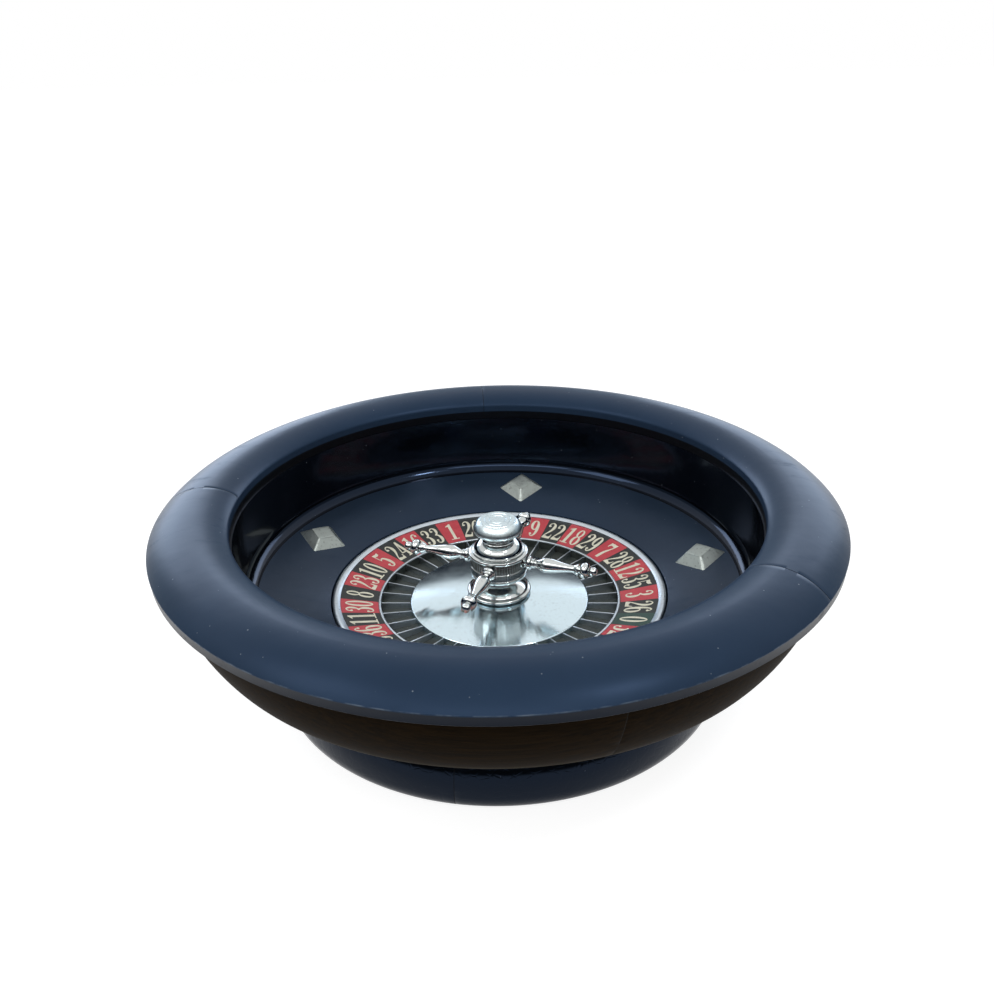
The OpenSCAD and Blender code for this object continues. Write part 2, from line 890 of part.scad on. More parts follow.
// Hub with two turned lines and a socket for each handle
module turret_hub() {
    line = 0.45;
    lines = [hub_z + 2.1, hub_z + 6.2];
    color(nickel)
        difference() {
            turned(concat(
                [[0, hub_z], [hub_r - 0.5, hub_z], [hub_r, hub_z + 0.5]],
                bead(hub_r, lines[0] - line, lines[0] + line, -line),
                bead(hub_r, lines[1] - line, lines[1] + line, -line),
                [[hub_r, cap_z], [0, cap_z]]
            ));
            cylinder(r = stud_r + seat_fit, h = cap_z + 1);
            for (i = [0:handle_count - 1])
                at_handle(i)
                    translate([0, 0, -shank_l - seat_fit])
                        cylinder(r = shank_r + seat_fit, h = shank_l + 2, $fn = 48);
        }
}

// Flanged cap that rises to a thin neck under the knob
module turret_cap() {
    step_r = cap_r - 2.3;
    neck = knob_r - 6.2;
    color(nickel)
        difference() {
            turned(concat(
                [[0, cap_z], [cap_r - 0.5, cap_z]],
                bead(cap_r - 0.6, cap_z, cap_z + 1.8, 0.6),
                [[step_r + 0.6, cap_z + 2.1]],
                bead(step_r, cap_z + 2.1, cap_z + 3.1, 0.4),
                reversed(ease(neck, knob_z - 2.6, step_r - 0.6, cap_z + 3.2)),
                bead(neck, knob_z - 2.4, knob_z - 0.6, 1.6),
                [[neck, knob_z - 0.5], [neck, knob_z], [0, knob_z]]
            ));
            cylinder(r = stud_r + seat_fit, h = knob_z + 1);
        }
}

// Turned knob with a grooved flat top
module knob() {
    rim_z = knob_z + knob_h * 0.42;
    face_r = knob_r - 3.5;
    under_edge_r = knob_r - 2.4;
    groove = 0.35;
    color(nickel)
        difference() {
            turned(concat(
                [[0, knob_z], [under_edge_r - 2, knob_z]],
                reversed(quarter(knob_r, rim_z, under_edge_r, knob_z + 0.8, 2)),
                quarter(knob_r, rim_z, face_r + groove, knob_top - groove, 2),
                [[face_r, knob_top - groove], [face_r - groove, knob_top], [0, knob_top]]
            ));
            translate([0, 0, knob_z - 1])
                cylinder(r = stud_r + seat_fit, h = stud_top - knob_z + 1 + seat_fit);
            for (r = [face_r - 5.2, face_r - 2.6])
                translate([0, 0, knob_top - groove])
                    difference() {
                        cylinder(r = r + groove, h = 1);
                        translate([0, 0, -1])
                            cylinder(r = r - groove, h = 3);
                    }
        }
}

module turret_stud() {
    color("#8f9498")
        translate([0, 0, stud_bottom])
            cylinder(r = stud_r, h = stud_top - stud_bottom, $fn = 48);
}

// One turned handle: collar, two rings, vase, neck, flare, end ball and tip
module handle(index) {
    color(nickel)
        at_handle(index) {
            turned(concat(
                [[0, root_gap], [handle_neck_r, root_gap], [handle_neck_r, collar_in]],
                bead(handle_collar_r - collar_round, collar_in, collar_in + collar_l, collar_round),
                bead(handle_neck_r + 0.3, ring_in, ring_in + ring_l, ring_l / 2),
                bead(handle_neck_r + 0.3, ring_in + ring_pitch, ring_in + ring_pitch + ring_l, ring_l / 2),
                ease(handle_neck_r, vase_in, handle_vase_r, vase_z),
                reversed(ease(handle_neck_r, flare_in, handle_vase_r, vase_z)),
                ease(handle_neck_r, flare_in + 0.2, handle_neck_r + flare_w, flare_in + flare_l),
                [[handle_neck_r, ball_in - 0.6]],
                bead(handle_neck_r, ball_in, ball_in + ball_l, handle_ball_r - handle_neck_r),
                bead(tip_r / 2, ball_in + ball_l + 0.2, handle_l - 0.1, tip_r / 2),
                [[0, handle_l]]
            ));
            translate([0, 0, -shank_l])
                cylinder(r = shank_r, h = shank_l + 1, $fn = 48);
        }
}

baize_pad();
foot_left();
foot_right();
body_left();
body_right();
rim_front();
rim_right();
rim_left();
track_ring();
apron();
floor_board();
deflector(0);  // deflector_1
deflector(1);  // deflector_2
deflector(2);  // deflector_3
deflector(3);  // deflector_4
deflector(4);  // deflector_5
deflector_pins();
spindle();
spindle_plate();
plate_screws();
spindle_washer();
spindle_nut();
pivot_ball();
foot_screws();
rotor_disc();
cone_ring();
number_plate();
outer_band();
inner_band();
pocket_floor();
frets();
centre_dish();
bush();
bush_screws();
ring_screws();
turret_base();
turret_hub();
turret_cap();
knob();
turret_stud();
handle(0);  // handle_1
handle(1);  // handle_2
handle(2);  // handle_3
handle(3);  // handle_4
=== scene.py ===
import math
import random

import bmesh
import bpy
from mathutils import Matrix, Vector


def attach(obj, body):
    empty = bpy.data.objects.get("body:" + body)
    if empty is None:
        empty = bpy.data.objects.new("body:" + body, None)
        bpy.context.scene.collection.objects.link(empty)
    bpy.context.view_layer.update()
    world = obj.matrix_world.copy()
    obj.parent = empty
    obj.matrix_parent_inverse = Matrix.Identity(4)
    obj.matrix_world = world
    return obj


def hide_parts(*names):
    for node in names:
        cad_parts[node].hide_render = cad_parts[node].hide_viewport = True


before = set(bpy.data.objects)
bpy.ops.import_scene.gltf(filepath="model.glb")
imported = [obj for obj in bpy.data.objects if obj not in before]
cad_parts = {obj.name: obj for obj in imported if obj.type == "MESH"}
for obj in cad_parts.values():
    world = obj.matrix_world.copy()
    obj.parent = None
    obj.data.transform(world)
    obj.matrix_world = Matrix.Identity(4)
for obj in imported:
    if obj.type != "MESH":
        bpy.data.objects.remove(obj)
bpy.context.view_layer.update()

# All sizes are in millimetres until a mesh is made. Azimuths run anticlockwise from above and start at -Y,
# the side that faces the camera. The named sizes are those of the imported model.
MM = 0.001
PAD_T = 1.0
FOOT_TOP = 26.0
NECK_R = 114.0
FOOT_R = 123.8
FOOT_BELLY_Z = 8.5
FOOT_CONTACT_R = 119.6
SKIRT_R = 153.0
SKIRT_Z = 52.3
SKIRT_TOP_R = 173.0
SKIRT_BULGE = 1.42
BODY_TOP = 94.9
RIM_R = 180.0
ARRIS_Z = 100.2
CROWN_R = 156.7
CROWN_Z = 110.0
LIP_R = 140.0
LIP_Z = 102.9
LIP_ROUND = 1.7
TRACK_OUT_R = 146.0
TRACK_BOTTOM = 53.66
TRACK_TOP_R = 139.4
WALL_R = 137.5
COVE_R = 8.0
COVE_Z = 67.036
WELL_R = 93.0
APRON_R = 131.0
APRON_IN_Z = 49.28
APRON_SLOPE = 0.26
APRON_BOTTOM = 43.68
DISC_TOP = 38.6
POCKET_Z = 39.0
DISH_R = 49.8
DISH_Z = 42.4
TURRET_Z = 46.3
PEDESTAL_R = 15.6
CONE_IN_R = 66.0
NUMBER_IN_R = 67.5
NUMBER_OUT_R = 88.0
NUMBER_IN_Z = 43.8
NUMBER_SLOPE = 0.199
PLATE_T = 0.6
INNER_BAND_Z = 44.2
ROTOR_R = 92.2
DISC_R = 91.6
ROTOR_EDGE_Z = 49.48
POCKETS = 37
POCKET_PHASE = -56.1
FRET_H = 4.3
FRET_INNER_H = 3.1
HUB_Z = 58.0
HUB_R = 15.4
CAP_Z = 70.2
CAP_R = 16.4
KNOB_Z = 82.2
KNOB_R = 13.4
KNOB_TOP = 90.8
HANDLE_Z = 66.6
HANDLE_PHASE = 71.4
HANDLE_L = 40.0
RIM_JOINTS = (-93.1, 54.3, 183.0)
BODY_JOINT = 16.7
FOOT_JOINT = -10.8
# Azimuth and twist of each deflector, in degrees
DEFLECTORS = ((98, -11), (172, 4), (245, 13), (317, 0), (27, 0))
# The camera stands on the wheel's front side; its focal length and the image's long side are in pixels
CAMERA_Y = -478.0
CAMERA_Z = 335.1
CAMERA_PITCH = 25.813
CAMERA_ROLL = -1.357
FOCAL_LENGTH = 994
IMAGE_LONG_SIDE = 995


# Materials

def linear(code):
    """Linear colour of an sRGB hex value."""
    parts = [int(code[i:i + 2], 16) / 255 for i in (1, 3, 5)]
    return [p / 12.92 if p <= 0.04045 else ((p + 0.055) / 1.055) ** 2.4 for p in parts] + [1.0]


def per_mm(size):
    """Texture scale that repeats about once in a size in millimetres."""
    return 1 / (size * MM)


def add(tree, kind, inputs=None, stops=None, **settings):
    """Adds one node: inputs are values or other nodes' outputs, and stops are a colour ramp's."""
    node = tree.nodes.new(kind)
    for key, value in settings.items():
        setattr(node, key, value)
    for key, value in (inputs or {}).items():
        if isinstance(value, bpy.types.NodeSocket):
            tree.links.new(value, node.inputs[key])
        else:
            node.inputs[key].default_value = value
    if stops:
        ramp = node.color_ramp.elements
        while len(ramp) < len(stops):
            ramp.new(0.5)
        for element, (place, shade) in zip(ramp, stops):
            element.position = place
            element.color = shade if not isinstance(shade, (int, float)) else [shade] * 3 + [1]
    return node


def finish(name, **settings):
    """A new material with a Principled shader; returns the material, its tree, shader and object position."""
    material = bpy.data.materials.new(name)
    material.use_nodes = True
    tree = material.node_tree
    shader = tree.nodes["Principled BSDF"]
    for key, value in settings.items():
        shader.inputs[key.replace("_", " ")].default_value = value
    place = add(tree, "ShaderNodeTexCoord").outputs["Object"]
    return material, tree, shader, place


def stretched(tree, place, size):
    """The object position with each axis measured in its own size in millimetres."""
    scales = [per_mm(length) for length in size]
    return add(tree, "ShaderNodeVectorMath", {0: place, 1: scales}, operation="MULTIPLY").outputs[0]


def blend_colour(tree, amount, under, over):
    """The colour over laid on the colour under by an amount from 0 to 1."""
    return add(tree, "ShaderNodeMix", {0: amount, 6: under, 7: over}, data_type="RGBA").outputs[2]


def product(tree, first, second):
    """The product of two values or outputs."""
    return add(tree, "ShaderNodeMath", {0: first, 1: second}, operation="MULTIPLY").outputs[0]


def speckle(tree, place, spacing, radius):
    """Scattered dots of uneven size, as of dust or pits: 1 in a dot and 0 elsewhere."""
    cells = add(tree, "ShaderNodeTexVoronoi", {"Vector": place, "Scale": per_mm(spacing)})
    parts = add(tree, "ShaderNodeSeparateColor", {0: cells.outputs["Color"]})
    reach = product(tree, parts.outputs[0], radius / spacing)
    return add(tree, "ShaderNodeMapRange", {
        "Value": cells.outputs["Distance"], "From Min": reach, "From Max": product(tree, reach, 0.4)}).outputs[0]


def from_axis(tree, place):
    """The distance from the wheel's axis and the height above the table, both in metres."""
    parts = add(tree, "ShaderNodeSeparateXYZ", {0: place})
    flat = add(tree, "ShaderNodeCombineXYZ", {0: parts.outputs[0], 1: parts.outputs[1]})
    away = add(tree, "ShaderNodeVectorMath", {0: flat.outputs[0]}, operation="LENGTH").outputs["Value"]
    return away, parts.outputs[2]


def near_ring(tree, place, radius, height, width):
    """1 on a circle round the wheel's axis, and 0 from a width away."""
    away, level = from_axis(tree, place)
    side = add(tree, "ShaderNodeMath", {0: away, 1: radius * MM}, operation="SUBTRACT").outputs[0]
    rise = add(tree, "ShaderNodeMath", {0: level, 1: height * MM}, operation="SUBTRACT").outputs[0]
    offset = add(tree, "ShaderNodeCombineXYZ", {0: side, 1: rise}).outputs[0]
    gap = add(tree, "ShaderNodeVectorMath", {0: offset}, operation="LENGTH").outputs["Value"]
    return add(tree, "ShaderNodeMapRange", {
        "Value": gap, "From Min": width * MM, "From Max": 0.3 * width * MM}).outputs[0]


def ebonised(name, tone, second, gloss, level, dust_share=0.5, worn=(), craze=0.0, dents=0.0, painted_shade_below=None):
    """Ebonised hardwood under old spirit lacquer: dark, a little uneven, with dust, scuffs and rubbed arrises.
    The cold blue tint of its shine is a painted reflection of blue daylight sky on black lacquer."""
    # Specular Tint #a6c8ff is painted blue sky sheen, not a colour of the lacquer
    material, tree, shader, place = finish(name, IOR=1.5, Specular_IOR_Level=level, Specular_Tint=linear("#a6c8ff"))
    # Cloudy patches about 55 mm across between the two tones; on the rim and apron these tones are painted blue sheen
    cloud = add(tree, "ShaderNodeTexNoise", {"Vector": place, "Scale": per_mm(55), "Detail": 4.0})
    colour = blend_colour(tree, cloud.outputs[0], linear(tone), linear(second))
    # Scuffs up to 26 mm long from years of dusting
    scuff_place = stretched(tree, place, (26, 9, 9))
    scuff = add(tree, "ShaderNodeTexNoise", {"Vector": scuff_place, "Scale": 1.0, "Detail": 8.0, "Roughness": 0.72})
    scuffed = add(tree, "ShaderNodeValToRGB", {0: scuff.outputs[0]}, stops=[(0.57, 0.0), (0.72, 1.0)])
    # Dust, drawn coarser than it is so that it shows: up to 0.9 mm across and 5.5 mm apart
    specks = speckle(tree, place, 5.5, 0.45)
    colour = blend_colour(tree, product(tree, specks, dust_share), colour, linear("#a9b4bd"))
    broken = add(tree, "ShaderNodeTexNoise", {"Vector": place, "Scale": per_mm(7), "Detail": 6.0})
    rubbed = add(tree, "ShaderNodeValToRGB", {0: broken.outputs[0]}, stops=[(0.42, 0.0), (0.66, 0.7)])
    if painted_shade_below:
        # The edge band under the arris is painted near-black: painted shade for the shadow it lies in
        height = add(tree, "ShaderNodeSeparateXYZ", {0: place}).outputs[2]
        under = add(tree, "ShaderNodeMapRange", {
            "Value": height, "From Min": painted_shade_below * MM, "From Max": (painted_shade_below - 0.5) * MM})
        colour = blend_colour(tree, under.outputs[0], colour, linear("#0b0a09"))
    for radius, height, width in worn:
        ring = near_ring(tree, place, radius, height, width)
        colour = blend_colour(tree, product(tree, ring, rubbed.outputs[0]), colour, linear("#66727f"))
    tree.links.new(colour, shader.inputs["Base Color"])
    rough = add(tree, "ShaderNodeMapRange", {"Value": scuffed.outputs[0], "To Min": gloss, "To Max": gloss + 0.16})
    tree.links.new(rough.outputs[0], shader.inputs["Roughness"])
    # Brushed lacquer isn't quite flat: low waves about 14 mm apart
    ripple = add(tree, "ShaderNodeTexNoise", {"Vector": place, "Scale": per_mm(14), "Detail": 2.0})
    skin = add(tree, "ShaderNodeBump", {"Height": ripple.outputs[0], "Strength": 0.25 + dents, "Distance": 0.0004})
    if craze:
        # Crazed lacquer: a net of fine cracks about 5 mm apart
        net = add(tree, "ShaderNodeTexVoronoi", {"Vector": place, "Scale": per_mm(5.0)}, feature="DISTANCE_TO_EDGE")
        crack = add(tree, "ShaderNodeMapRange", {"Value": net.outputs["Distance"], "From Max": 0.06})
        skin = add(tree, "ShaderNodeBump", {
            "Height": crack.outputs[0], "Strength": craze, "Distance": 0.0003, "Normal": skin.outputs[0]})
    tree.links.new(skin.outputs[0], shader.inputs["Normal"])
    return material


def nickel(name, tone, low, high, tarnish="#6d6f6c", tarnish_share=0.25, scratches=0.15, turned_marks=0.0,
           spun=0.0):
    """Nickel plate on turned or cast brass: smudged, lightly scratched, and dull where the plate has gone."""
    material, tree, shader, place = finish(name, Metallic=1.0, Anisotropic=spun)
    if spun:
        # Fine rings from the polishing wheel draw each reflection out along the radius
        shader.inputs["Anisotropic Rotation"].default_value = 0.25
        around_axis = add(tree, "ShaderNodeTangent", direction_type="RADIAL", axis="Z")
        tree.links.new(around_axis.outputs[0], shader.inputs["Tangent"])
    smudge = add(tree, "ShaderNodeTexNoise", {"Vector": place, "Scale": per_mm(9), "Detail": 6.0, "Roughness": 0.65})
    spots = add(tree, "ShaderNodeTexNoise", {"Vector": place, "Scale": per_mm(1.6), "Detail": 4.0})
    spotted = add(tree, "ShaderNodeValToRGB", {0: spots.outputs[0]}, stops=[(0.56, 0.0), (0.74, 1.0)])
    colour = blend_colour(tree, product(tree, spotted.outputs[0], tarnish_share), linear(tone), linear(tarnish))
    tree.links.new(colour, shader.inputs["Base Color"])
    rough = add(tree, "ShaderNodeMapRange", {
        "Value": smudge.outputs[0], "From Min": 0.3, "From Max": 0.7, "To Min": low, "To Max": high})
    tree.links.new(rough.outputs[0], shader.inputs["Roughness"])
    # Polishing lines, drawn coarser than they are so that they show: 0.5 mm apart and 14 mm long
    grain_place = stretched(tree, place, (0.5, 14, 14))
    grain = add(tree, "ShaderNodeTexNoise", {"Vector": grain_place, "Scale": 1.0, "Detail": 3.0})
    height = grain.outputs[0]
    if turned_marks:
        # Rings left by the lathe, about 0.8 mm apart
        away, level = from_axis(tree, place)
        line = add(tree, "ShaderNodeCombineXYZ", {
            0: product(tree, away, per_mm(0.8)), 1: product(tree, level, per_mm(0.8))})
        rings = add(tree, "ShaderNodeTexNoise", {"Vector": line.outputs[0], "Scale": 1.0, "Detail": 2.0})
        height = add(tree, "ShaderNodeMix", {0: turned_marks, 2: grain.outputs[0], 3: rings.outputs[0]}).outputs[0]
    marks = add(tree, "ShaderNodeBump", {"Height": height, "Strength": scratches, "Distance": 0.00008})
    tree.links.new(marks.outputs[0], shader.inputs["Normal"])
    return material


def enamel(name, tone, faded, gloss=0.34):
    """Baked enamel on thin metal: a thin even coat, faded in patches and scratched to a paler tone."""
    material, tree, shader, place = finish(name, IOR=1.5)
    patch = add(tree, "ShaderNodeTexNoise", {"Vector": place, "Scale": per_mm(6), "Detail": 6.0, "Roughness": 0.7})
    share = add(tree, "ShaderNodeMapRange", {"Value": patch.outputs[0], "From Min": 0.35, "From Max": 0.7})
    colour = blend_colour(tree, share.outputs[0], linear(tone), linear(faded))
    nicks = speckle(tree, place, 2.6, 0.3)
    colour = blend_colour(tree, product(tree, nicks, 0.35), colour, linear("#cfcabc"))
    tree.links.new(colour, shader.inputs["Base Color"])
    rough = add(tree, "ShaderNodeMapRange", {
        "Value": patch.outputs[0], "To Min": gloss - 0.08, "To Max": gloss + 0.16})
    tree.links.new(rough.outputs[0], shader.inputs["Roughness"])
    orange = add(tree, "ShaderNodeTexNoise", {"Vector": place, "Scale": per_mm(1.2), "Detail": 2.0})
    skin = add(tree, "ShaderNodeBump", {"Height": orange.outputs[0], "Strength": 0.2, "Distance": 0.0001})
    tree.links.new(skin.outputs[0], shader.inputs["Normal"])
    return material


def timber(name, tone, grain_tone, gloss, edge=(), level=0.25):
    """Stained hardwood with its grain along X: darker pores in long lines, and paler where it has been rubbed."""
    material, tree, shader, place = finish(name, IOR=1.46, Specular_IOR_Level=level)
    # Pores about 2.2 mm apart, in lines some 60 mm long
    along = stretched(tree, place, (61.6, 2.2, 2.2))
    grain = add(tree, "ShaderNodeTexNoise", {
        "Vector": along, "Scale": 1.0, "Detail": 7.0, "Roughness": 0.68, "Distortion": 0.4})
    lines = add(tree, "ShaderNodeValToRGB", {0: grain.outputs[0]}, stops=[(0.36, 0.0), (0.66, 1.0)])
    colour = blend_colour(tree, lines.outputs[0], linear(tone), linear(grain_tone))
    broken = add(tree, "ShaderNodeTexNoise", {"Vector": place, "Scale": per_mm(16), "Detail": 6.0})
    for radius, height, width in edge:
        ring = near_ring(tree, place, radius, height, width)
        colour = blend_colour(tree, product(tree, ring, broken.outputs[0]), colour, linear("#3c3520"))
    tree.links.new(colour, shader.inputs["Base Color"])
    rough = add(tree, "ShaderNodeMapRange", {"Value": grain.outputs[0], "To Min": gloss, "To Max": gloss + 0.2})
    tree.links.new(rough.outputs[0], shader.inputs["Roughness"])
    pores = add(tree, "ShaderNodeBump", {"Height": grain.outputs[0], "Strength": 0.35, "Distance": 0.0002})
    tree.links.new(pores.outputs[0], shader.inputs["Normal"])
    return material


def wool_baize():
    """Green wool baize: a short matt nap that hides its weave."""
    material, tree, shader, place = finish("green_wool_baize", Roughness=0.95)
    nap = add(tree, "ShaderNodeTexNoise", {"Vector": place, "Scale": per_mm(1.4), "Detail": 5.0})
    colour = blend_colour(tree, nap.outputs[0], linear("#2c3a27"), linear("#4d6142"))
    tree.links.new(colour, shader.inputs["Base Color"])
    fuzz = add(tree, "ShaderNodeBump", {"Height": nap.outputs[0], "Strength": 0.7, "Distance": 0.0004})
    tree.links.new(fuzz.outputs[0], shader.inputs["Normal"])
    return material


# Turned beech stained black. The rim is satin from handling, and paler along its arris
# The rim's navy tones are painted blue sheen of reflected daylight sky on black lacquer, and the near-black band
# below the arris is painted shade
rim_lacquer = ebonised("ebonised_rim_satin_lacquer", "#1c2a3c", "#27384d", 0.34, 0.2, dents=0.1,
                       worn=((RIM_R, ARRIS_Z, 0.45), (RIM_R - 0.5, BODY_TOP, 0.4)), painted_shade_below=ARRIS_Z - 0.2)
# Only the ball has touched the wall, so it keeps its deep polish
wall_lacquer = ebonised("ebonised_wall_gloss_lacquer", "#030406", "#05070b", 0.1, 0.35, dust_share=0.2)
# The apron's navy tones are also painted blue sheen of reflected sky on black lacquer
apron_lacquer = ebonised("ebonised_apron_satin_lacquer", "#131d28", "#1c2a3a", 0.32, 0.36, dust_share=0.4, dents=0.3)
# The foot has a thicker coat, glossy and a little crazed
foot_lacquer = ebonised("black_foot_gloss_lacquer", "#030405", "#07090c", 0.16, 0.25, dust_share=0.2, craze=0.14)
# The skirt was stained and left unpolished, so its brown grain shows
body_timber = timber("brown_black_stained_beech", "#120c05", "#281d10", 0.42,
                     edge=((SKIRT_R, SKIRT_Z, 9.0), (SKIRT_TOP_R, BODY_TOP, 3.0)), level=0.01)
inner_timber = timber("plain_stained_beech", "#2e2115", "#57422c", 0.6)
glue_line = timber("dark_glue_line", "#060506", "#0d0b0a", 0.7)
# Nickel plate: bright on the turret and handles, mirror-like on the spun dish, rubbed on the knob, which fingers
# turn, satin on the bands and frets, and grey with wear on the cast deflectors
polished_nickel = nickel("polished_nickel_plate", "#c4c8c7", 0.08, 0.18, turned_marks=0.6)
rubbed_nickel = nickel("hand_rubbed_nickel_knob", "#d3dfe2", 0.24, 0.36, tarnish="#8d979a", tarnish_share=0.4,
                       scratches=0.4, turned_marks=0.5)
# The dish's blue-white tone is a painted reflection of blue daylight; plain nickel is warmer
dish_nickel = nickel("spun_nickel_dish", "#d2e4ec", 0.1, 0.15, tarnish="#9aa9b4", tarnish_share=0.3,
                     scratches=0.05, turned_marks=0.3, spun=0.85)
handle_nickel = nickel("polished_nickel_handles", "#ccd0cf", 0.08, 0.17)
satin_nickel = nickel("satin_nickel_bands", "#c3ccd3", 0.26, 0.4, turned_marks=0.8)
dull_nickel = nickel("worn_cast_nickel", "#a6ada9", 0.34, 0.55, tarnish="#55564f", tarnish_share=0.6,
                     scratches=0.5)
bright_steel = nickel("turned_bright_steel", "#8d9296", 0.25, 0.4, turned_marks=0.8)
old_brass = nickel("turned_brass", "#a98c4b", 0.3, 0.48, tarnish="#4a3b1c", turned_marks=0.8)
# Stoved enamel, half glossy, with matt painted figures and matt paint in the pockets
red_enamel = enamel("faded_red_enamel", "#b5303e", "#c6474f")
black_enamel = enamel("black_enamel", "#0b1112", "#1a2223")
green_enamel = enamel("dark_green_enamel", "#12332c", "#2b4b43")
ivory_paint = enamel("ivory_figure_paint", "#e6e3cf", "#cfcdb9", gloss=0.5)
pocket_paint = enamel("grey_green_pocket_paint", "#262b29", "#3a403c", gloss=0.5)
green_baize = wool_baize()


# Meshes

def ease(r0, z0, r1, z1, steps=20):
    """Points on a smooth S between two radii."""
    return [(r0 + (r1 - r0) * (1 - math.cos(math.pi * i / steps)) / 2, z0 + (z1 - z0) * i / steps)
            for i in range(steps + 1)]


def bead(r, z0, z1, bulge, steps=16):
    """Points on a half-round bead, or a groove where the bulge is negative."""
    return [(r + bulge * math.sin(math.pi * i / steps), (z0 + z1) / 2 - (z1 - z0) / 2 * math.cos(math.pi * i / steps))
            for i in range(steps + 1)]


def quarter(r0, z0, r1, z1, roundness, steps=24):
    """Points on a quarter of a rounded curve, from (r0, z0) upright to (r1, z1) level."""
    return [(r1 + (r0 - r1) * max(0.0, math.cos(math.pi / 2 * i / steps)) ** (2 / roundness),
             z0 + (z1 - z0) * math.sin(math.pi / 2 * i / steps) ** (2 / roundness)) for i in range(steps + 1)]


def piece(name, points, faces, materials, body, nodes, crease=32, picks=None, place=None):
    """A mesh piece, given in millimetres, that rides on a body and stands for some nodes."""
    mesh = bpy.data.meshes.new(name)
    place = place or Matrix.Identity(4)
    mesh.from_pydata([(place @ Vector(p)) * MM for p in points], [], faces)
    for material in materials:
        mesh.materials.append(material)
    if picks:
        mesh.polygons.foreach_set("material_index", picks)
    work = bmesh.new()
    work.from_mesh(mesh)
    bmesh.ops.recalc_face_normals(work, faces=work.faces)
    work.to_mesh(mesh)
    work.free()
    mesh.shade_smooth()
    mesh.set_sharp_from_angle(angle=math.radians(crease))
    made = bpy.data.objects.new(name, mesh)
    bpy.context.scene.collection.objects.link(made)
    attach(made, body)
    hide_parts(*nodes)
    return made


def direction(azimuth):
    """The X and Y of a unit step towards an azimuth."""
    return math.sin(math.radians(azimuth)), -math.cos(math.radians(azimuth))


def turned(name, outline, material, body, nodes, start=0.0, end=360.0, step=1.5, crease=32, place=None,
           seam=0.0):
    """A turned piece: an outline of (radius, height) swept round the axis, whole or between two azimuths.
    With a seam, both ends are eased in by that much, so that the joint shows as a fine dark line."""
    whole = end - start >= 360
    count = max(3, round((end - start) / step))
    rows = [(start + (end - start) * i / count, 0.0) for i in range(count if whole else count + 1)]
    if not whole and seam:
        small = math.degrees(1.4 * seam / max(r for r, z in outline))
        rows = [(start, seam), (start + small, 0.0)] + rows[1:-1] + [(end - small, 0.0), (end, seam)]
    centre_r = sum(r for r, z in outline) / len(outline)
    centre_z = sum(z for r, z in outline) / len(outline)
    points, grid = [], []
    poles = {}
    for azimuth, inset in rows:
        east, south = direction(azimuth)
        row = []
        for i, (r, z) in enumerate(outline):
            if r < 1e-6:
                if i not in poles:
                    poles[i] = len(points)
                    points.append((0.0, 0.0, z))
                row.append(poles[i])
                continue
            if inset:
                reach = math.hypot(centre_r - r, centre_z - z)
                r += (centre_r - r) * inset / reach
                z += (centre_z - z) * inset / reach
            row.append(len(points))
            points.append((r * east, r * south, z))
        grid.append(row)
    faces, picks = [], []
    span = len(outline)
    for k in range(len(rows) if whole else len(rows) - 1):
        near, far = grid[k], grid[(k + 1) % len(rows)]
        on_seam = not whole and seam and k in (0, len(rows) - 2)
        for i in range(span):
            j = (i + 1) % span
            corners = []
            for corner in (near[i], near[j], far[j], far[i]):
                if corner not in corners:
                    corners.append(corner)
            if len(corners) > 2:
                faces.append(corners)
                picks.append(1 if on_seam else 0)
    if not whole:
        faces += [list(reversed(grid[0])), list(grid[-1])]
        picks += [1 if seam else 0] * 2
    return piece(name, points, faces, [material, glue_line] if seam else [material], body, nodes,
                 crease, picks if seam else None, place)


def apron_z(r):
    """Height of the apron at a radius."""
    return APRON_IN_Z + (r - WELL_R) * APRON_SLOPE


def number_z(r):
    """Height of the number plate at a radius."""
    return NUMBER_IN_Z + (r - NUMBER_IN_R) * NUMBER_SLOPE


# The rim: three glued segments with one section, rounded over from the arris to the lip
crown_arc = ((RIM_R - CROWN_R) ** 2 + (CROWN_Z - ARRIS_Z) ** 2) / (2 * (CROWN_Z - ARRIS_Z))
crown_turn = math.asin((RIM_R - CROWN_R) / crown_arc)
rim_outline = [(LIP_R, BODY_TOP), (RIM_R - 0.8, BODY_TOP), (RIM_R - 0.5, BODY_TOP + 0.3)]
rim_outline += [(RIM_R - 0.15, ARRIS_Z - 0.7), (RIM_R - 0.02, ARRIS_Z - 0.3), (RIM_R - 0.05, ARRIS_Z + 0.05)]
rim_outline += [(RIM_R - 0.3, ARRIS_Z + 0.3)]
for i in range(2, 61):
    turn = crown_turn * (1 - i / 60)
    rim_outline.append((CROWN_R + crown_arc * math.sin(turn), CROWN_Z - crown_arc * (1 - math.cos(turn))))
rim_outline += list(reversed(quarter(LIP_R, LIP_Z, CROWN_R, CROWN_Z, LIP_ROUND, 40)))[1:]
for name, start, end in (("rim_front", RIM_JOINTS[0], RIM_JOINTS[1]),
                         ("rim_right", RIM_JOINTS[1], RIM_JOINTS[2]),
                         ("rim_left", RIM_JOINTS[2], RIM_JOINTS[0] + 360)):
    turned(name + "_segment", rim_outline, rim_lacquer, "bowl", [name], start, end, step=1.0,
           seam=0.12)

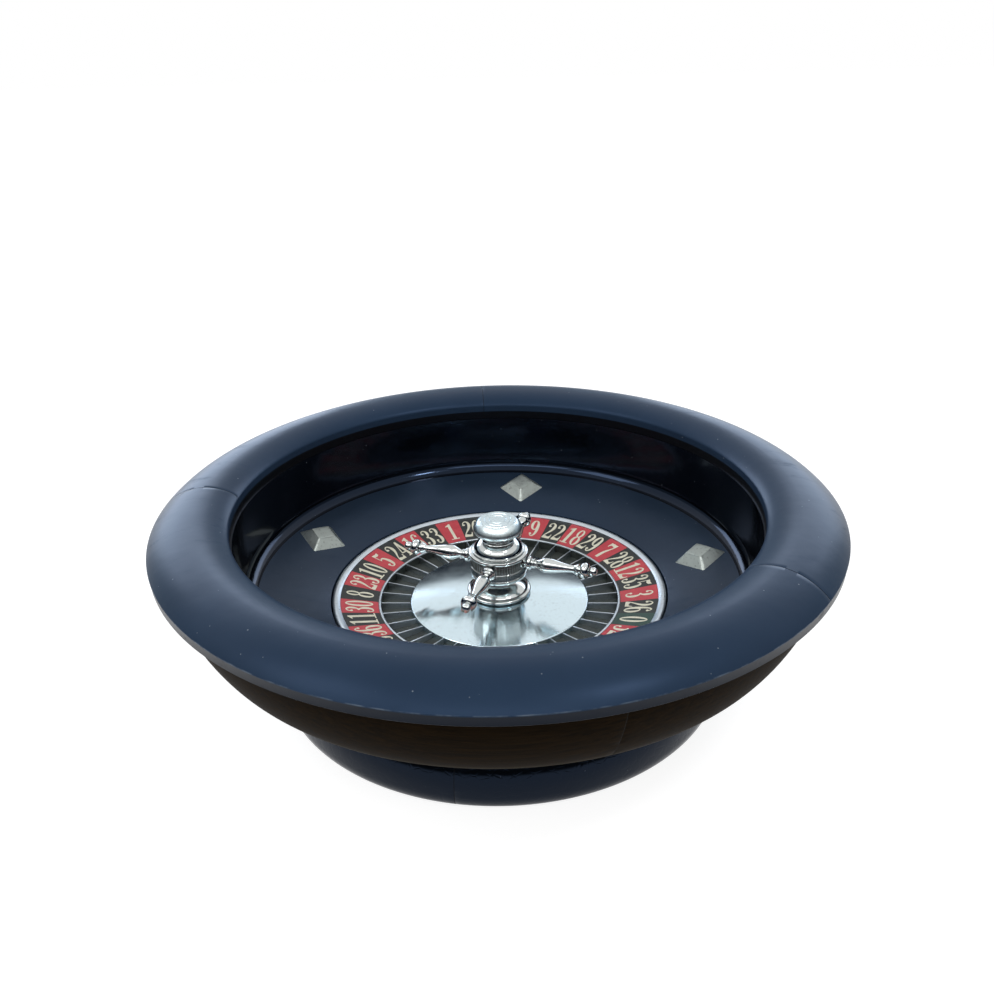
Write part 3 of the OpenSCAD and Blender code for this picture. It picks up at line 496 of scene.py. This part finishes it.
# The body: two glued halves
body_outline = [(WELL_R, FOOT_TOP), (NECK_R, FOOT_TOP), (NECK_R + 0.5, FOOT_TOP + 1.6), (NECK_R + 2, FOOT_TOP + 3)]
body_outline += [(SKIRT_R - 2.4, SKIRT_Z - 2.4), (SKIRT_R - 1.0, SKIRT_Z - 1.4)]
body_outline += list(reversed(quarter(SKIRT_TOP_R, BODY_TOP, SKIRT_R, SKIRT_Z, SKIRT_BULGE, 60)))
body_outline += [(TRACK_OUT_R, BODY_TOP), (TRACK_OUT_R, TRACK_BOTTOM), (APRON_R, TRACK_BOTTOM)]
body_outline += [(APRON_R, APRON_BOTTOM), (WELL_R, APRON_BOTTOM)]
turned("body_left_half", body_outline, body_timber, "bowl", ["body_left"], BODY_JOINT - 180, BODY_JOINT,
       seam=0.1)
turned("body_right_half", body_outline, body_timber, "bowl", ["body_right"], BODY_JOINT,
       BODY_JOINT + 180, seam=0.1)

# The foot: two glued halves with a bullnose edge
foot_outline = [(0, PAD_T)] + list(reversed(quarter(FOOT_R, FOOT_BELLY_Z, FOOT_CONTACT_R, PAD_T, 2, 20)))
foot_outline += quarter(FOOT_R, FOOT_BELLY_Z, NECK_R + 1, FOOT_TOP, 2.4, 40)[1:] + [(0, FOOT_TOP)]
turned("foot_left_half", foot_outline, foot_lacquer, "bowl", ["foot_left"], FOOT_JOINT - 180,
       FOOT_JOINT, seam=0.1)
turned("foot_right_half", foot_outline, foot_lacquer, "bowl", ["foot_right"], FOOT_JOINT,
       FOOT_JOINT + 180, seam=0.1)

# The wall with its cove, and the conical apron
cove_angle = math.atan(APRON_SLOPE)
wall_outline = [(APRON_R, TRACK_BOTTOM), (TRACK_OUT_R, TRACK_BOTTOM), (TRACK_OUT_R, BODY_TOP)]
wall_outline += [(TRACK_TOP_R, BODY_TOP), (TRACK_TOP_R - 0.02, BODY_TOP - 0.4)]
for i in range(41):
    turn = -(math.pi / 2 - cove_angle) * i / 40
    wall_outline.append((WALL_R - COVE_R + COVE_R * math.cos(turn), COVE_Z + COVE_R * math.sin(turn)))
wall_outline.append((APRON_R, apron_z(APRON_R)))
turned("track_wall", wall_outline, wall_lacquer, "bowl", ["track_ring"], step=1.0)
apron_outline = [(WELL_R, APRON_BOTTOM), (APRON_R, APRON_BOTTOM), (APRON_R, apron_z(APRON_R))]
apron_outline += [(WELL_R + 0.5, apron_z(WELL_R + 0.5)), (WELL_R + 0.1, APRON_IN_Z - 0.1), (WELL_R, APRON_IN_Z - 0.4)]
turned("apron_board", apron_outline, apron_lacquer, "bowl", ["apron"], step=1.0)


def between(start, goal, share):
    """The point a share of the way from one point to another."""
    return tuple(a + (b - a) * share for a, b in zip(start, goal))


def rounded_square(half, radius):
    """Points round a square with rounded corners."""
    per_side, corner_steps = 12, 5
    signs = ((1, 1), (-1, 1), (-1, -1), (1, -1))

    def corner_point(side, angle):
        sign_x, sign_y = signs[side % 4]
        turn = math.radians(angle)
        return (half - radius) * sign_x + radius * math.cos(turn), (half - radius) * sign_y + radius * math.sin(turn)

    found = []
    for side in range(4):
        found += [corner_point(side, side * 90 + 90 * i / corner_steps) for i in range(corner_steps + 1)]
        last, goal = found[-1], corner_point(side + 1, side * 90 + 90)
        found += [between(last, goal, i / per_side) for i in range(1, per_side)]
    return found


def deflector(index):
    """A cast four-sided deflector with softened edges, cut to the cone that it stands on."""
    azimuth, twist = DEFLECTORS[index]
    base, top, height, soft, margin, sink = 20.6, 10.8, 5.0, 0.5, 0.4, 2.0
    centre_r = APRON_R - margin - base * math.sqrt(2) / 2
    place = (Matrix.Rotation(math.radians(azimuth - 90), 4, "Z")
             @ Matrix.Translation((centre_r, 0, apron_z(centre_r)))
             @ Matrix.Rotation(-cove_angle, 4, "Y") @ Matrix.Rotation(math.radians(45 + twist), 4, "Z"))
    draw = random.Random(40 + index)

    def seat(start, goal):
        """How far along the line between two points the line meets the cone."""
        low, high = 0.0, 1.0
        for _ in range(30):
            middle = (low + high) / 2
            point = place @ Vector(between(start, goal, middle))
            if point.z > apron_z(math.hypot(point.x, point.y)):
                low = middle
            else:
                high = middle
        return low

    flare = (base - top) / 2 / height
    rows = [[(x, y, height - drop) for x, y in rounded_square(top / 2 - inset, soft + 0.2)]
            for inset, drop in ((2.2, 0.0), (0.45, 0.0), (0.18, 0.06), (0.0, 0.28))]
    top_edge = rows[-1]
    low_edge = [(x, y, -sink) for x, y in rounded_square(top / 2 + (height + sink) * flare, 1.1)]
    shares = [seat(start, goal) for start, goal in zip(top_edge, low_edge)]
    flank_steps = 8
    for level in range(1, flank_steps + 1):
        rows.append([between(start, goal, share * level / flank_steps)
                     for start, goal, share in zip(top_edge, low_edge, shares)])
    points, faces = [(0, 0, height - 0.02)], []
    for number, row in enumerate(rows):
        # The casting's skin is uneven by a twentieth of a millimetre
        shake = 0.05 if 1 < number < len(rows) - 1 else 0.0
        for x, y, z in row:
            points.append((x + draw.uniform(-shake, shake), y + draw.uniform(-shake, shake),
                           z + draw.uniform(-shake, shake) / 2))
    around = len(rows[0])
    for i in range(around):
        j = (i + 1) % around
        faces.append([0, 1 + i, 1 + j])
        for number in range(len(rows) - 1):
            a, b = 1 + number * around, 1 + (number + 1) * around
            faces.append([a + i, b + i, b + j, a + j])
    faces.append([1 + (len(rows) - 1) * around + i for i in range(around)])
    piece("deflector_%d_casting" % (index + 1), points, faces, [dull_nickel], "bowl",
          ["deflector_%d" % (index + 1)], crease=24, place=place)


for index in range(len(DEFLECTORS)):
    deflector(index)

# The rotor's bright bands
BAND_BOTTOM = 43.88
band_outline = [(NUMBER_OUT_R, BAND_BOTTOM), (DISC_R, BAND_BOTTOM), (ROTOR_R, BAND_BOTTOM + 0.6)]
band_outline += quarter(ROTOR_R, ROTOR_EDGE_Z - 1, ROTOR_R - 1.6, ROTOR_EDGE_Z, 2, 12)
band_outline += [(ROTOR_R - 2.4, ROTOR_EDGE_Z - 0.1), (NUMBER_OUT_R + 0.4, 48.75), (NUMBER_OUT_R, 48.5)]
turned("outer_bright_band", band_outline, satin_nickel, "rotor", ["outer_band"], step=1.5)
inner_outline = [(CONE_IN_R, NUMBER_IN_Z - PLATE_T), (NUMBER_IN_R - 0.05, NUMBER_IN_Z - PLATE_T)]
inner_outline += [(CONE_IN_R + 0.725 * (1 + math.cos(math.pi * i / 12)),
                   INNER_BAND_Z - 0.4 * (1 - math.sin(math.pi * i / 12))) for i in range(13)]
turned("inner_bright_band", inner_outline, satin_nickel, "rotor", ["inner_band"], step=1.5)


# The number plate: enamelled cells, and painted figures that stand a hair above them
ORDER = (0, 32, 15, 19, 4, 21, 2, 25, 17, 34, 6, 27, 13, 36, 11, 30, 8, 23, 10, 5, 24, 16, 33, 1, 20, 14, 31, 9,
         22, 18, 29, 7, 28, 12, 35, 3, 26)
PITCH = 360 / POCKETS


def cell_centre(j):
    """Azimuth of the middle of a number's cell."""
    return POCKET_PHASE - (j - 12.5) * PITCH


def cells(name, chosen, material):
    """Enamelled cells of one colour, as thin plates that follow the cone."""
    points, faces = [], []
    across, along = 6, 3
    for j in chosen:
        first = len(points)
        middle = cell_centre(j)
        for level in (0.0, -PLATE_T):
            for i in range(along + 1):
                r = NUMBER_IN_R + (NUMBER_OUT_R - 0.05 - NUMBER_IN_R) * i / along
                for k in range(across + 1):
                    east, south = direction(middle - PITCH / 2 + PITCH * k / across)
                    points.append((r * east, r * south, number_z(r) + level))
        size = (along + 1) * (across + 1)
        for i in range(along):
            for k in range(across):
                a = first + i * (across + 1) + k
                faces.append([a, a + 1, a + across + 2, a + across + 1])
                faces.append([a + size, a + size + across + 1, a + size + across + 2, a + size + 1])
        edge = [i for i in range(across + 1)] + [(i + 1) * (across + 1) - 1 for i in range(1, along + 1)]
        edge += [along * (across + 1) + k for k in range(across - 1, -1, -1)]
        edge += [i * (across + 1) for i in range(along - 1, 0, -1)]
        for a, b in zip(edge, edge[1:] + edge[:1]):
            faces.append([first + a, first + a + size, first + b + size, first + b])
    piece(name, points, faces, [material], "rotor", ["number_plate"])


cells("red_number_cells", range(1, POCKETS, 2), red_enamel)
cells("black_number_cells", range(2, POCKETS, 2), black_enamel)
cells("zero_number_cell", [0], green_enamel)

# Figures in a condensed face with thick and thin strokes, drawn in a box 0.5 wide and 1 high:
# strokes are lines through (x, y, width), discs are ball ends (x, y, radius), and blocks are corner points
FIGURES = {
    "0": {"rings": [(0.25, 0.5, 0.25, 0.5, 0.105, 0.44)]},
    "1": {"blocks": [[(0.18, 0.03), (0.345, 0.03), (0.345, 1.0), (0.27, 1.0), (0.18, 0.93)],
                     [(0.04, 0.0), (0.485, 0.0), (0.485, 0.045), (0.04, 0.045)],
                     [(0.05, 0.84), (0.19, 0.86), (0.28, 1.0), (0.2, 0.955), (0.05, 0.88)]]},
    "2": {"strokes": [[(0.06, 0.76, 0.05), (0.1, 0.9, 0.055), (0.24, 0.975, 0.055), (0.375, 0.88, 0.12),
                       (0.4, 0.72, 0.17), (0.33, 0.52, 0.12), (0.17, 0.3, 0.065), (0.06, 0.12, 0.05)]],
          "discs": [(0.115, 0.77, 0.085)],
          "blocks": [[(0.02, 0.0), (0.455, 0.0), (0.49, 0.27), (0.45, 0.27), (0.41, 0.15), (0.31, 0.115),
                      (0.17, 0.16), (0.08, 0.15), (0.02, 0.09)]]},
    "3": {"strokes": [[(0.06, 0.79, 0.05), (0.12, 0.93, 0.055), (0.25, 0.975, 0.055), (0.365, 0.88, 0.12),
                       (0.375, 0.74, 0.15), (0.32, 0.6, 0.09), (0.19, 0.535, 0.045)],
                      [(0.19, 0.535, 0.045), (0.33, 0.48, 0.09), (0.4, 0.3, 0.17), (0.36, 0.11, 0.13),
                       (0.23, 0.025, 0.055), (0.12, 0.06, 0.055), (0.06, 0.2, 0.05)]],
          "discs": [(0.115, 0.79, 0.08), (0.11, 0.2, 0.08)]},
    "4": {"blocks": [[(0.26, 0.03), (0.41, 0.03), (0.41, 1.0), (0.34, 1.0), (0.26, 0.86)],
                     [(0.01, 0.27), (0.5, 0.27), (0.5, 0.325), (0.01, 0.325)],
                     [(0.01, 0.325), (0.065, 0.325), (0.36, 1.0), (0.31, 1.0)],
                     [(0.17, 0.0), (0.49, 0.0), (0.49, 0.045), (0.17, 0.045)]]},
    "5": {"strokes": [[(0.1, 0.54, 0.045), (0.2, 0.615, 0.055), (0.33, 0.57, 0.11), (0.4, 0.37, 0.17),
                       (0.365, 0.14, 0.14), (0.24, 0.025, 0.055), (0.12, 0.055, 0.055), (0.06, 0.19, 0.05)]],
          "discs": [(0.11, 0.19, 0.08)],
          "blocks": [[(0.075, 0.53), (0.12, 0.53), (0.12, 0.97), (0.075, 1.0)],
                     [(0.09, 0.86), (0.3, 0.83), (0.43, 0.87), (0.46, 1.0), (0.3, 0.975), (0.09, 1.0)]]},
    "6": {"rings": [(0.255, 0.3, 0.24, 0.3, 0.09, 0.25)],
          "strokes": [[(0.42, 0.87, 0.045), (0.33, 0.97, 0.055), (0.2, 0.93, 0.08), (0.11, 0.74, 0.14),
                       (0.085, 0.5, 0.16), (0.095, 0.3, 0.16)]],
          "discs": [(0.385, 0.84, 0.08)]},
    "7": {"strokes": [[(0.46, 0.9, 0.05), (0.37, 0.66, 0.08), (0.26, 0.4, 0.15), (0.23, 0.18, 0.18),
                       (0.23, 0.0, 0.18)]],
          "blocks": [[(0.02, 0.72), (0.055, 0.72), (0.1, 0.83), (0.2, 0.86), (0.34, 0.81), (0.46, 0.84), (0.49, 1.0),
                      (0.36, 0.975), (0.2, 1.0), (0.08, 0.97), (0.05, 1.0), (0.02, 1.0)]]},
    "8": {"rings": [(0.25, 0.755, 0.2, 0.245, 0.085, 0.195), (0.25, 0.285, 0.245, 0.285, 0.1, 0.235)]},
}
# The 9 is the 6 turned round
FIGURES["9"] = {
    "rings": [(0.5 - x, 1 - y, *sizes) for x, y, *sizes in FIGURES["6"]["rings"]],
    "strokes": [[(0.5 - x, 1 - y, w) for x, y, w in line] for line in FIGURES["6"]["strokes"]],
    "discs": [(0.5 - x, 1 - y, r) for x, y, r in FIGURES["6"]["discs"]]}


def smooth_line(marks, steps=6):
    """A smooth curve through marks of any number of values."""
    ends = [marks[0]] + list(marks) + [marks[-1]]
    found = []
    for k in range(len(marks) - 1):
        p0, p1, p2, p3 = ends[k:k + 4]
        for i in range(steps):
            t = i / steps
            found.append([0.5 * (2 * b + (c - a) * t + (2 * a - 5 * b + 4 * c - d) * t * t
                                 + (3 * b - a - 3 * c + d) * t ** 3) for a, b, c, d in zip(p0, p1, p2, p3)])
    return found + [list(marks[-1])]


def figure_parts(figure):
    """Flat closed outlines of one figure; a ring is given as an outer and an inner loop."""
    parts = []
    for x, y, wide, high, inner_wide, inner_high in figure.get("rings", ()):
        loops = [[(x + a * math.cos(math.tau * i / 36), y + b * math.sin(math.tau * i / 36)) for i in range(36)]
                 for a, b in ((wide, high), (inner_wide, inner_high))]
        parts.append(("ring", loops))
    for line in figure.get("strokes", ()):
        marks = smooth_line(line)
        left, right = [], []
        for i, (x, y, width) in enumerate(marks):
            before, after = marks[max(0, i - 1)], marks[min(len(marks) - 1, i + 1)]
            dx, dy = after[0] - before[0], after[1] - before[1]
            size = math.hypot(dx, dy) or 1.0
            left.append((x - dy / size * width / 2, y + dx / size * width / 2))
            right.append((x + dy / size * width / 2, y - dx / size * width / 2))
        parts.append(("strip", [left, right]))
    for x, y, r in figure.get("discs", ()):
        parts.append(("face", [[(x + r * math.cos(math.tau * i / 20) * 0.9,
                                 y + r * math.sin(math.tau * i / 20) * 0.62) for i in range(20)]]))
    for block in figure.get("blocks", ()):
        parts.append(("face", [block]))
    return parts


def figures():
    """All painted figures, tops outwards, as thin raised paint that follows the cone."""
    points, faces = [], []
    paint, tall, wide, gap, foot_r = 0.08, 15.2, 11.2, 0.5, 70.2
    for j, number in enumerate(ORDER):
        outward = direction(cell_centre(j))
        reading = (outward[1], -outward[0])
        text = str(number)
        width = len(text) * 0.5 * wide + (len(text) - 1) * gap
        for place_index, letter in enumerate(text):
            shift = -width / 2 + place_index * (0.5 * wide + gap)
            for layer, (kind, loops) in enumerate(figure_parts(FIGURES[letter])):
                # Parts that cross are laid one above the other, so that no two faces coincide
                first = len(points)
                for level in (paint + 0.004 * layer, -0.1):
                    for x, y in sum(loops, []):
                        side, r = shift + x * wide, foot_r + y * tall
                        px = outward[0] * r + reading[0] * side
                        py = outward[1] * r + reading[1] * side
                        points.append((px, py, number_z(math.hypot(px, py)) + level))
                n, count = len(loops[0]), sum(len(loop) for loop in loops)
                if kind == "face":
                    quads = [(i, count + i, count + (i + 1) % n, (i + 1) % n) for i in range(n)]
                    quads = [range(n), [count + i for i in range(n - 1, -1, -1)]] + quads
                else:
                    quads = []
                    for i in range(n if kind == "ring" else n - 1):
                        k = (i + 1) % n
                        quads += [(i, k, n + k, n + i), (count + i, count + n + i, count + n + k, count + k),
                                  (i, count + i, count + k, k), (n + i, n + k, count + n + k, count + n + i)]
                if kind == "strip":
                    quads += [(i, n + i, count + n + i, count + i) for i in (0, n - 1)]
                faces += [[first + corner for corner in quad] for quad in quads]
    piece("number_figures", points, faces, [ivory_paint], "rotor", ["number_plate"])


figures()


def frets():
    """Upright pocket walls: thin plates with rounded tops that fall towards the dish."""
    points, faces = [], []
    inner, outer = DISH_R + 0.15, CONE_IN_R - 0.15
    section = [(-0.5, 0.0), (-0.46, 0.9), (-0.36, 0.985), (-0.16, 1.0)]
    section += [(-side, share) for side, share in reversed(section)]
    for i in range(POCKETS):
        east, south = direction(POCKET_PHASE + i * PITCH)
        first = len(points)
        stations = [(inner, 0.94, 0.8), (inner + 0.3, 0.99, 1.0), (outer - 0.3, 1.0, 1.0), (outer, 0.96, 0.8)]
        for r, high, wide in stations:
            height = FRET_INNER_H + (FRET_H - FRET_INNER_H) * (r - inner) / (outer - inner)
            for side, share in section:
                side *= wide * 0.96
                points.append((r * east - side * south, r * south + side * east, POCKET_Z + height * share * high))
        size = len(section)
        for k in range(len(stations) - 1):
            for s in range(size):
                t = (s + 1) % size
                a, b = first + k * size, first + (k + 1) * size
                faces.append([a + s, a + t, b + t, b + s])
        faces.append([first + s for s in range(size)])
        faces.append([first + (len(stations) - 1) * size + s for s in range(size - 1, -1, -1)])
    piece("pocket_fret_plates", points, faces, [satin_nickel], "rotor", ["frets"], crease=40)


frets()

# The dish, the turret and its knob
dish_outline = [(6.7, DISC_TOP), (DISH_R, DISC_TOP)] + quarter(DISH_R, DISH_Z - 0.6, DISH_R - 0.8, DISH_Z, 2, 8)
dish_outline += [(DISH_R - 1.1, DISH_Z), (PEDESTAL_R + 0.6, TURRET_Z), (6.7, TURRET_Z)]
turned("mirror_dish", dish_outline, dish_nickel, "rotor", ["centre_dish"], step=1.0)

base_outline = [(0, TURRET_Z), (PEDESTAL_R, TURRET_Z)] + bead(PEDESTAL_R, TURRET_Z + 0.05, TURRET_Z + 0.6, 0.4)
base_outline += bead(16.7, TURRET_Z + 0.7, TURRET_Z + 2.5, 1.0)
base_outline += list(reversed(ease(9.24, HUB_Z - 3.5, 16.1, TURRET_Z + 2.7, 28)))
base_outline += bead(9.24, HUB_Z - 3.5, HUB_Z - 1.9, 0.5)
base_outline += [(HUB_R - 2.0, HUB_Z - 1.3), (HUB_R - 2.0, HUB_Z), (0, HUB_Z)]
turned("turret_flared_base", base_outline, polished_nickel, "rotor", ["turret_base"], step=3)

hub_outline = [(0, HUB_Z), (HUB_R - 0.5, HUB_Z), (HUB_R - 0.15, HUB_Z + 0.15), (HUB_R, HUB_Z + 0.5)]
hub_outline += bead(HUB_R, HUB_Z + 1.65, HUB_Z + 2.55, -0.45, 8) + bead(HUB_R, HUB_Z + 5.75, HUB_Z + 6.65, -0.45, 8)
hub_outline += [(HUB_R, CAP_Z - 0.2), (HUB_R - 0.2, CAP_Z), (0, CAP_Z)]
turned("turret_ringed_hub", hub_outline, polished_nickel, "rotor", ["turret_hub"], step=3)

cap_outline = [(0, CAP_Z), (CAP_R - 0.6, CAP_Z)] + bead(CAP_R - 0.6, CAP_Z + 0.05, CAP_Z + 1.8, 0.6)
cap_outline += [(14.7, CAP_Z + 2.1)] + bead(14.1, CAP_Z + 2.1, CAP_Z + 3.1, 0.4)
cap_outline += quarter(13.5, CAP_Z + 3.2, 8.4, KNOB_Z - 3.8, 1.6, 24) + [(8.1, KNOB_Z - 3.5), (7.9, KNOB_Z - 2.8)]
cap_outline += bead(7.6, KNOB_Z - 2.4, KNOB_Z - 0.4, 1.3) + [(7.4, KNOB_Z - 0.3), (7.4, KNOB_Z), (0, KNOB_Z)]
turned("turret_domed_cap", cap_outline, polished_nickel, "rotor", ["turret_cap"], step=3)

# The knob is widest at rim_z, and its flat top has an edge at face_r and two fine grooves
rim_z = KNOB_Z + 3.7
face_r = KNOB_R - 3.7
knob_outline = [(0, KNOB_Z), (KNOB_R - 4.4, KNOB_Z)]
knob_outline += list(reversed(quarter(KNOB_R, rim_z, KNOB_R - 2.4, KNOB_Z + 0.8, 2, 16)))
knob_outline += quarter(KNOB_R, rim_z, face_r + 0.35, KNOB_TOP - 0.35, 1.35, 24)[1:]
knob_outline += [(face_r, KNOB_TOP - 0.38), (face_r - 0.15, KNOB_TOP - 0.2), (face_r - 0.35, KNOB_TOP)]
for groove_r in (face_r - 2.6, face_r - 5.2):
    knob_outline += [(groove_r + 0.3, KNOB_TOP), (groove_r + 0.1, KNOB_TOP - 0.25), (groove_r - 0.1, KNOB_TOP - 0.25),
                     (groove_r - 0.3, KNOB_TOP)]
knob_outline += [(0.8, KNOB_TOP), (0, KNOB_TOP)]
turned("turret_knob", knob_outline, rubbed_nickel, "rotor", ["knob"], step=3)

# The four turned handles
collar_in = CAP_R - HUB_R + 0.2
belly_at = collar_in + 10.7
neck_r = 2.1
handle_outline = [(0, -8.0), (1.8, -8.0), (1.8, 0.15), (neck_r, 0.15), (neck_r, collar_in)]
handle_outline += bead(3.2, collar_in, collar_in + 2.3, 0.7, 12)
handle_outline += bead(2.4, collar_in + 2.5, collar_in + 3.3, 0.4, 8)
handle_outline += bead(2.4, collar_in + 3.5, collar_in + 4.3, 0.4, 8)
handle_outline += ease(neck_r, collar_in + 4.5, 4.2, belly_at, 16)
handle_outline += list(reversed(ease(neck_r, 26.6, 4.2, belly_at, 24)))[1:]
handle_outline += ease(neck_r, 26.8, 3.3, 30.1, 12) + [(neck_r, 30.3)]
handle_outline += bead(neck_r, 30.9, 35.8, 2.4, 20) + bead(1.3, 36.0, HANDLE_L - 0.1, 1.3, 14)[:-1] + [(0, HANDLE_L)]
for index in range(4):
    place = (Matrix.Rotation(math.radians(HANDLE_PHASE + 90 * index - 90), 4, "Z")
             @ Matrix.Translation((HUB_R, 0, HANDLE_Z)) @ Matrix.Rotation(math.radians(90), 4, "Y"))
    turned("turned_handle_%d" % (index + 1), handle_outline, handle_nickel, "rotor",
           ["handle_%d" % (index + 1)], step=10, place=place)

# The nodes that stay as they are packed
for material, names in (
        (green_baize, ("baize_pad",)),
        (inner_timber, ("floor_board", "rotor_disc")),
        (pocket_paint, ("pocket_floor", "cone_ring")),
        (bright_steel, ("spindle", "spindle_washer", "spindle_nut", "pivot_ball", "turret_stud", "deflector_pins")),
        (old_brass, ("spindle_plate", "plate_screws", "foot_screws", "bush", "bush_screws", "ring_screws"))):
    for name in names:
        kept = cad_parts[name].data
        kept.materials.clear()
        kept.materials.append(material)


# The camera, the floor and the light

camera = bpy.data.objects.new("camera", bpy.data.cameras.new("camera"))
bpy.context.scene.collection.objects.link(camera)
bpy.context.scene.camera = camera
camera.data.sensor_width = 36
camera.data.lens = camera.data.sensor_width * FOCAL_LENGTH / IMAGE_LONG_SIDE
pitch, roll = math.radians(CAMERA_PITCH), math.radians(CAMERA_ROLL)
forward = Vector((0, math.cos(pitch), -math.sin(pitch)))
right = Vector((1, 0, 0))
up = Vector((0, math.sin(pitch), math.cos(pitch)))
tilted_right = right * math.cos(roll) + up * math.sin(roll)
tilted_up = up * math.cos(roll) - right * math.sin(roll)
camera.matrix_world = Matrix((
    (tilted_right.x, tilted_up.x, -forward.x, 0),
    (tilted_right.y, tilted_up.y, -forward.y, CAMERA_Y * MM),
    (tilted_right.z, tilted_up.z, -forward.z, CAMERA_Z * MM),
    (0, 0, 0, 1)))


def seen_directly(tree):
    """1 where the camera, gloss or glass looks, and 0 for the light that falls on the object."""
    path = add(tree, "ShaderNodeLightPath")
    seen = path.outputs["Is Camera Ray"]
    for ray in ("Is Glossy Ray", "Is Transmission Ray"):
        seen = add(tree, "ShaderNodeMath", {0: seen, 1: path.outputs[ray]}, operation="MAXIMUM").outputs[0]
    return seen


def white_ground():
    """White paper: it keeps the object's shadow, and it is as white to the camera and in the metal as the page."""
    material, tree, shader, _ = finish("white_paper_ground", Base_Color=(0.35, 0.35, 0.35, 1), Roughness=0.9,
                                       Specular_IOR_Level=0.0)
    glow = add(tree, "ShaderNodeEmission", {"Strength": product(tree, seen_directly(tree), 0.86)})
    both = add(tree, "ShaderNodeAddShader", {0: shader.outputs[0], 1: glow.outputs[0]})
    tree.links.new(both.outputs[0], tree.nodes["Material Output"].inputs["Surface"])
    return material


ground_mesh = bpy.data.meshes.new("ground")
half = 6.0
ground_mesh.from_pydata([(-half, -half, 0), (half, -half, 0), (half, half, 0), (-half, half, 0)], [], [(0, 1, 2, 3)])
ground_mesh.materials.append(white_ground())
ground = bpy.data.objects.new("ground", ground_mesh)
ground.location.z = -0.0002
bpy.context.scene.collection.objects.link(ground)

world = bpy.data.worlds.new("daylight_room")
bpy.context.scene.world = world
world.use_nodes = True
sky = world.node_tree
level = add(sky, "ShaderNodeMapRange", {"Value": seen_directly(sky), "To Min": 0.5, "To Max": 1.0})
sky.nodes["Background"].inputs["Color"].default_value = (1, 1, 1, 1)
sky.links.new(level.outputs[0], sky.nodes["Background"].inputs["Strength"])


def surround_card():
    """A low grey screen all round the table, which only the gloss shows: taller and darker in front."""
    material = bpy.data.materials.new("grey_surround_card")
    material.use_nodes = True
    tree = material.node_tree
    tree.nodes.clear()
    parts = add(tree, "ShaderNodeSeparateXYZ", {0: add(tree, "ShaderNodeTexCoord").outputs["Object"]})
    back = add(tree, "ShaderNodeMapRange", {"Value": parts.outputs[1], "From Min": -1.5, "From Max": 1.5})
    colour = blend_colour(tree, back.outputs[0], linear("#4b4c4c"), linear("#aab9c4"))
    glow = add(tree, "ShaderNodeEmission", {"Color": colour})
    add(tree, "ShaderNodeOutputMaterial", {"Surface": glow.outputs[0]})
    radius, low, high, taller, sides = 3.2, 0.15, 1.7, 0.3, 72
    points = []
    for i in range(sides):
        x, y = direction(180 - 360 * i / sides)
        points.append((radius * x, radius * y, low))
    points += [(x, y, high - taller * y / radius) for x, y, _ in points]
    faces = [(i, (i + 1) % sides, sides + (i + 1) % sides, sides + i) for i in range(sides)]
    mesh = bpy.data.meshes.new("surround_card")
    mesh.from_pydata(points, [], faces)
    mesh.materials.append(material)
    card = bpy.data.objects.new("surround_card", mesh)
    bpy.context.scene.collection.objects.link(card)
    card.visible_camera = False
    card.visible_diffuse = False
    card.visible_shadow = False


surround_card()


def lamp(name, azimuth, elevation, distance, width, height, power, shade="#ffffff"):
    """A soft lamp that points at the middle of the bowl."""
    data = bpy.data.lights.new(name, "AREA")
    data.shape = "RECTANGLE"
    data.size = width
    data.size_y = height
    data.energy = power
    data.color = linear(shade)[:3]
    made = bpy.data.objects.new(name, data)
    bpy.context.scene.collection.objects.link(made)
    east, south = direction(azimuth)
    level_part = distance * math.cos(math.radians(elevation))
    made.location = (east * level_part, south * level_part, distance * math.sin(math.radians(elevation)) + 0.05)
    made.rotation_euler = (Vector((0, 0, 0.05)) - made.location).to_track_quat("-Z", "Y").to_euler()


lamp("window_right", 53, 60, 2.0, 0.22, 0.22, 6)
lamp("window_left", -70, 50, 2.4, 0.9, 0.9, 10)
lamp("skylight", -8, 52, 2.2, 1.9, 0.4, 9)
lamp("low_window_left", -150, 16, 2.6, 1.6, 1.3, 26, "#dbeaff")
lamp("low_window_right", 150, 16, 2.6, 1.6, 1.3, 18, "#dbeaff")

bpy.context.scene.view_settings.view_transform = "Standard"
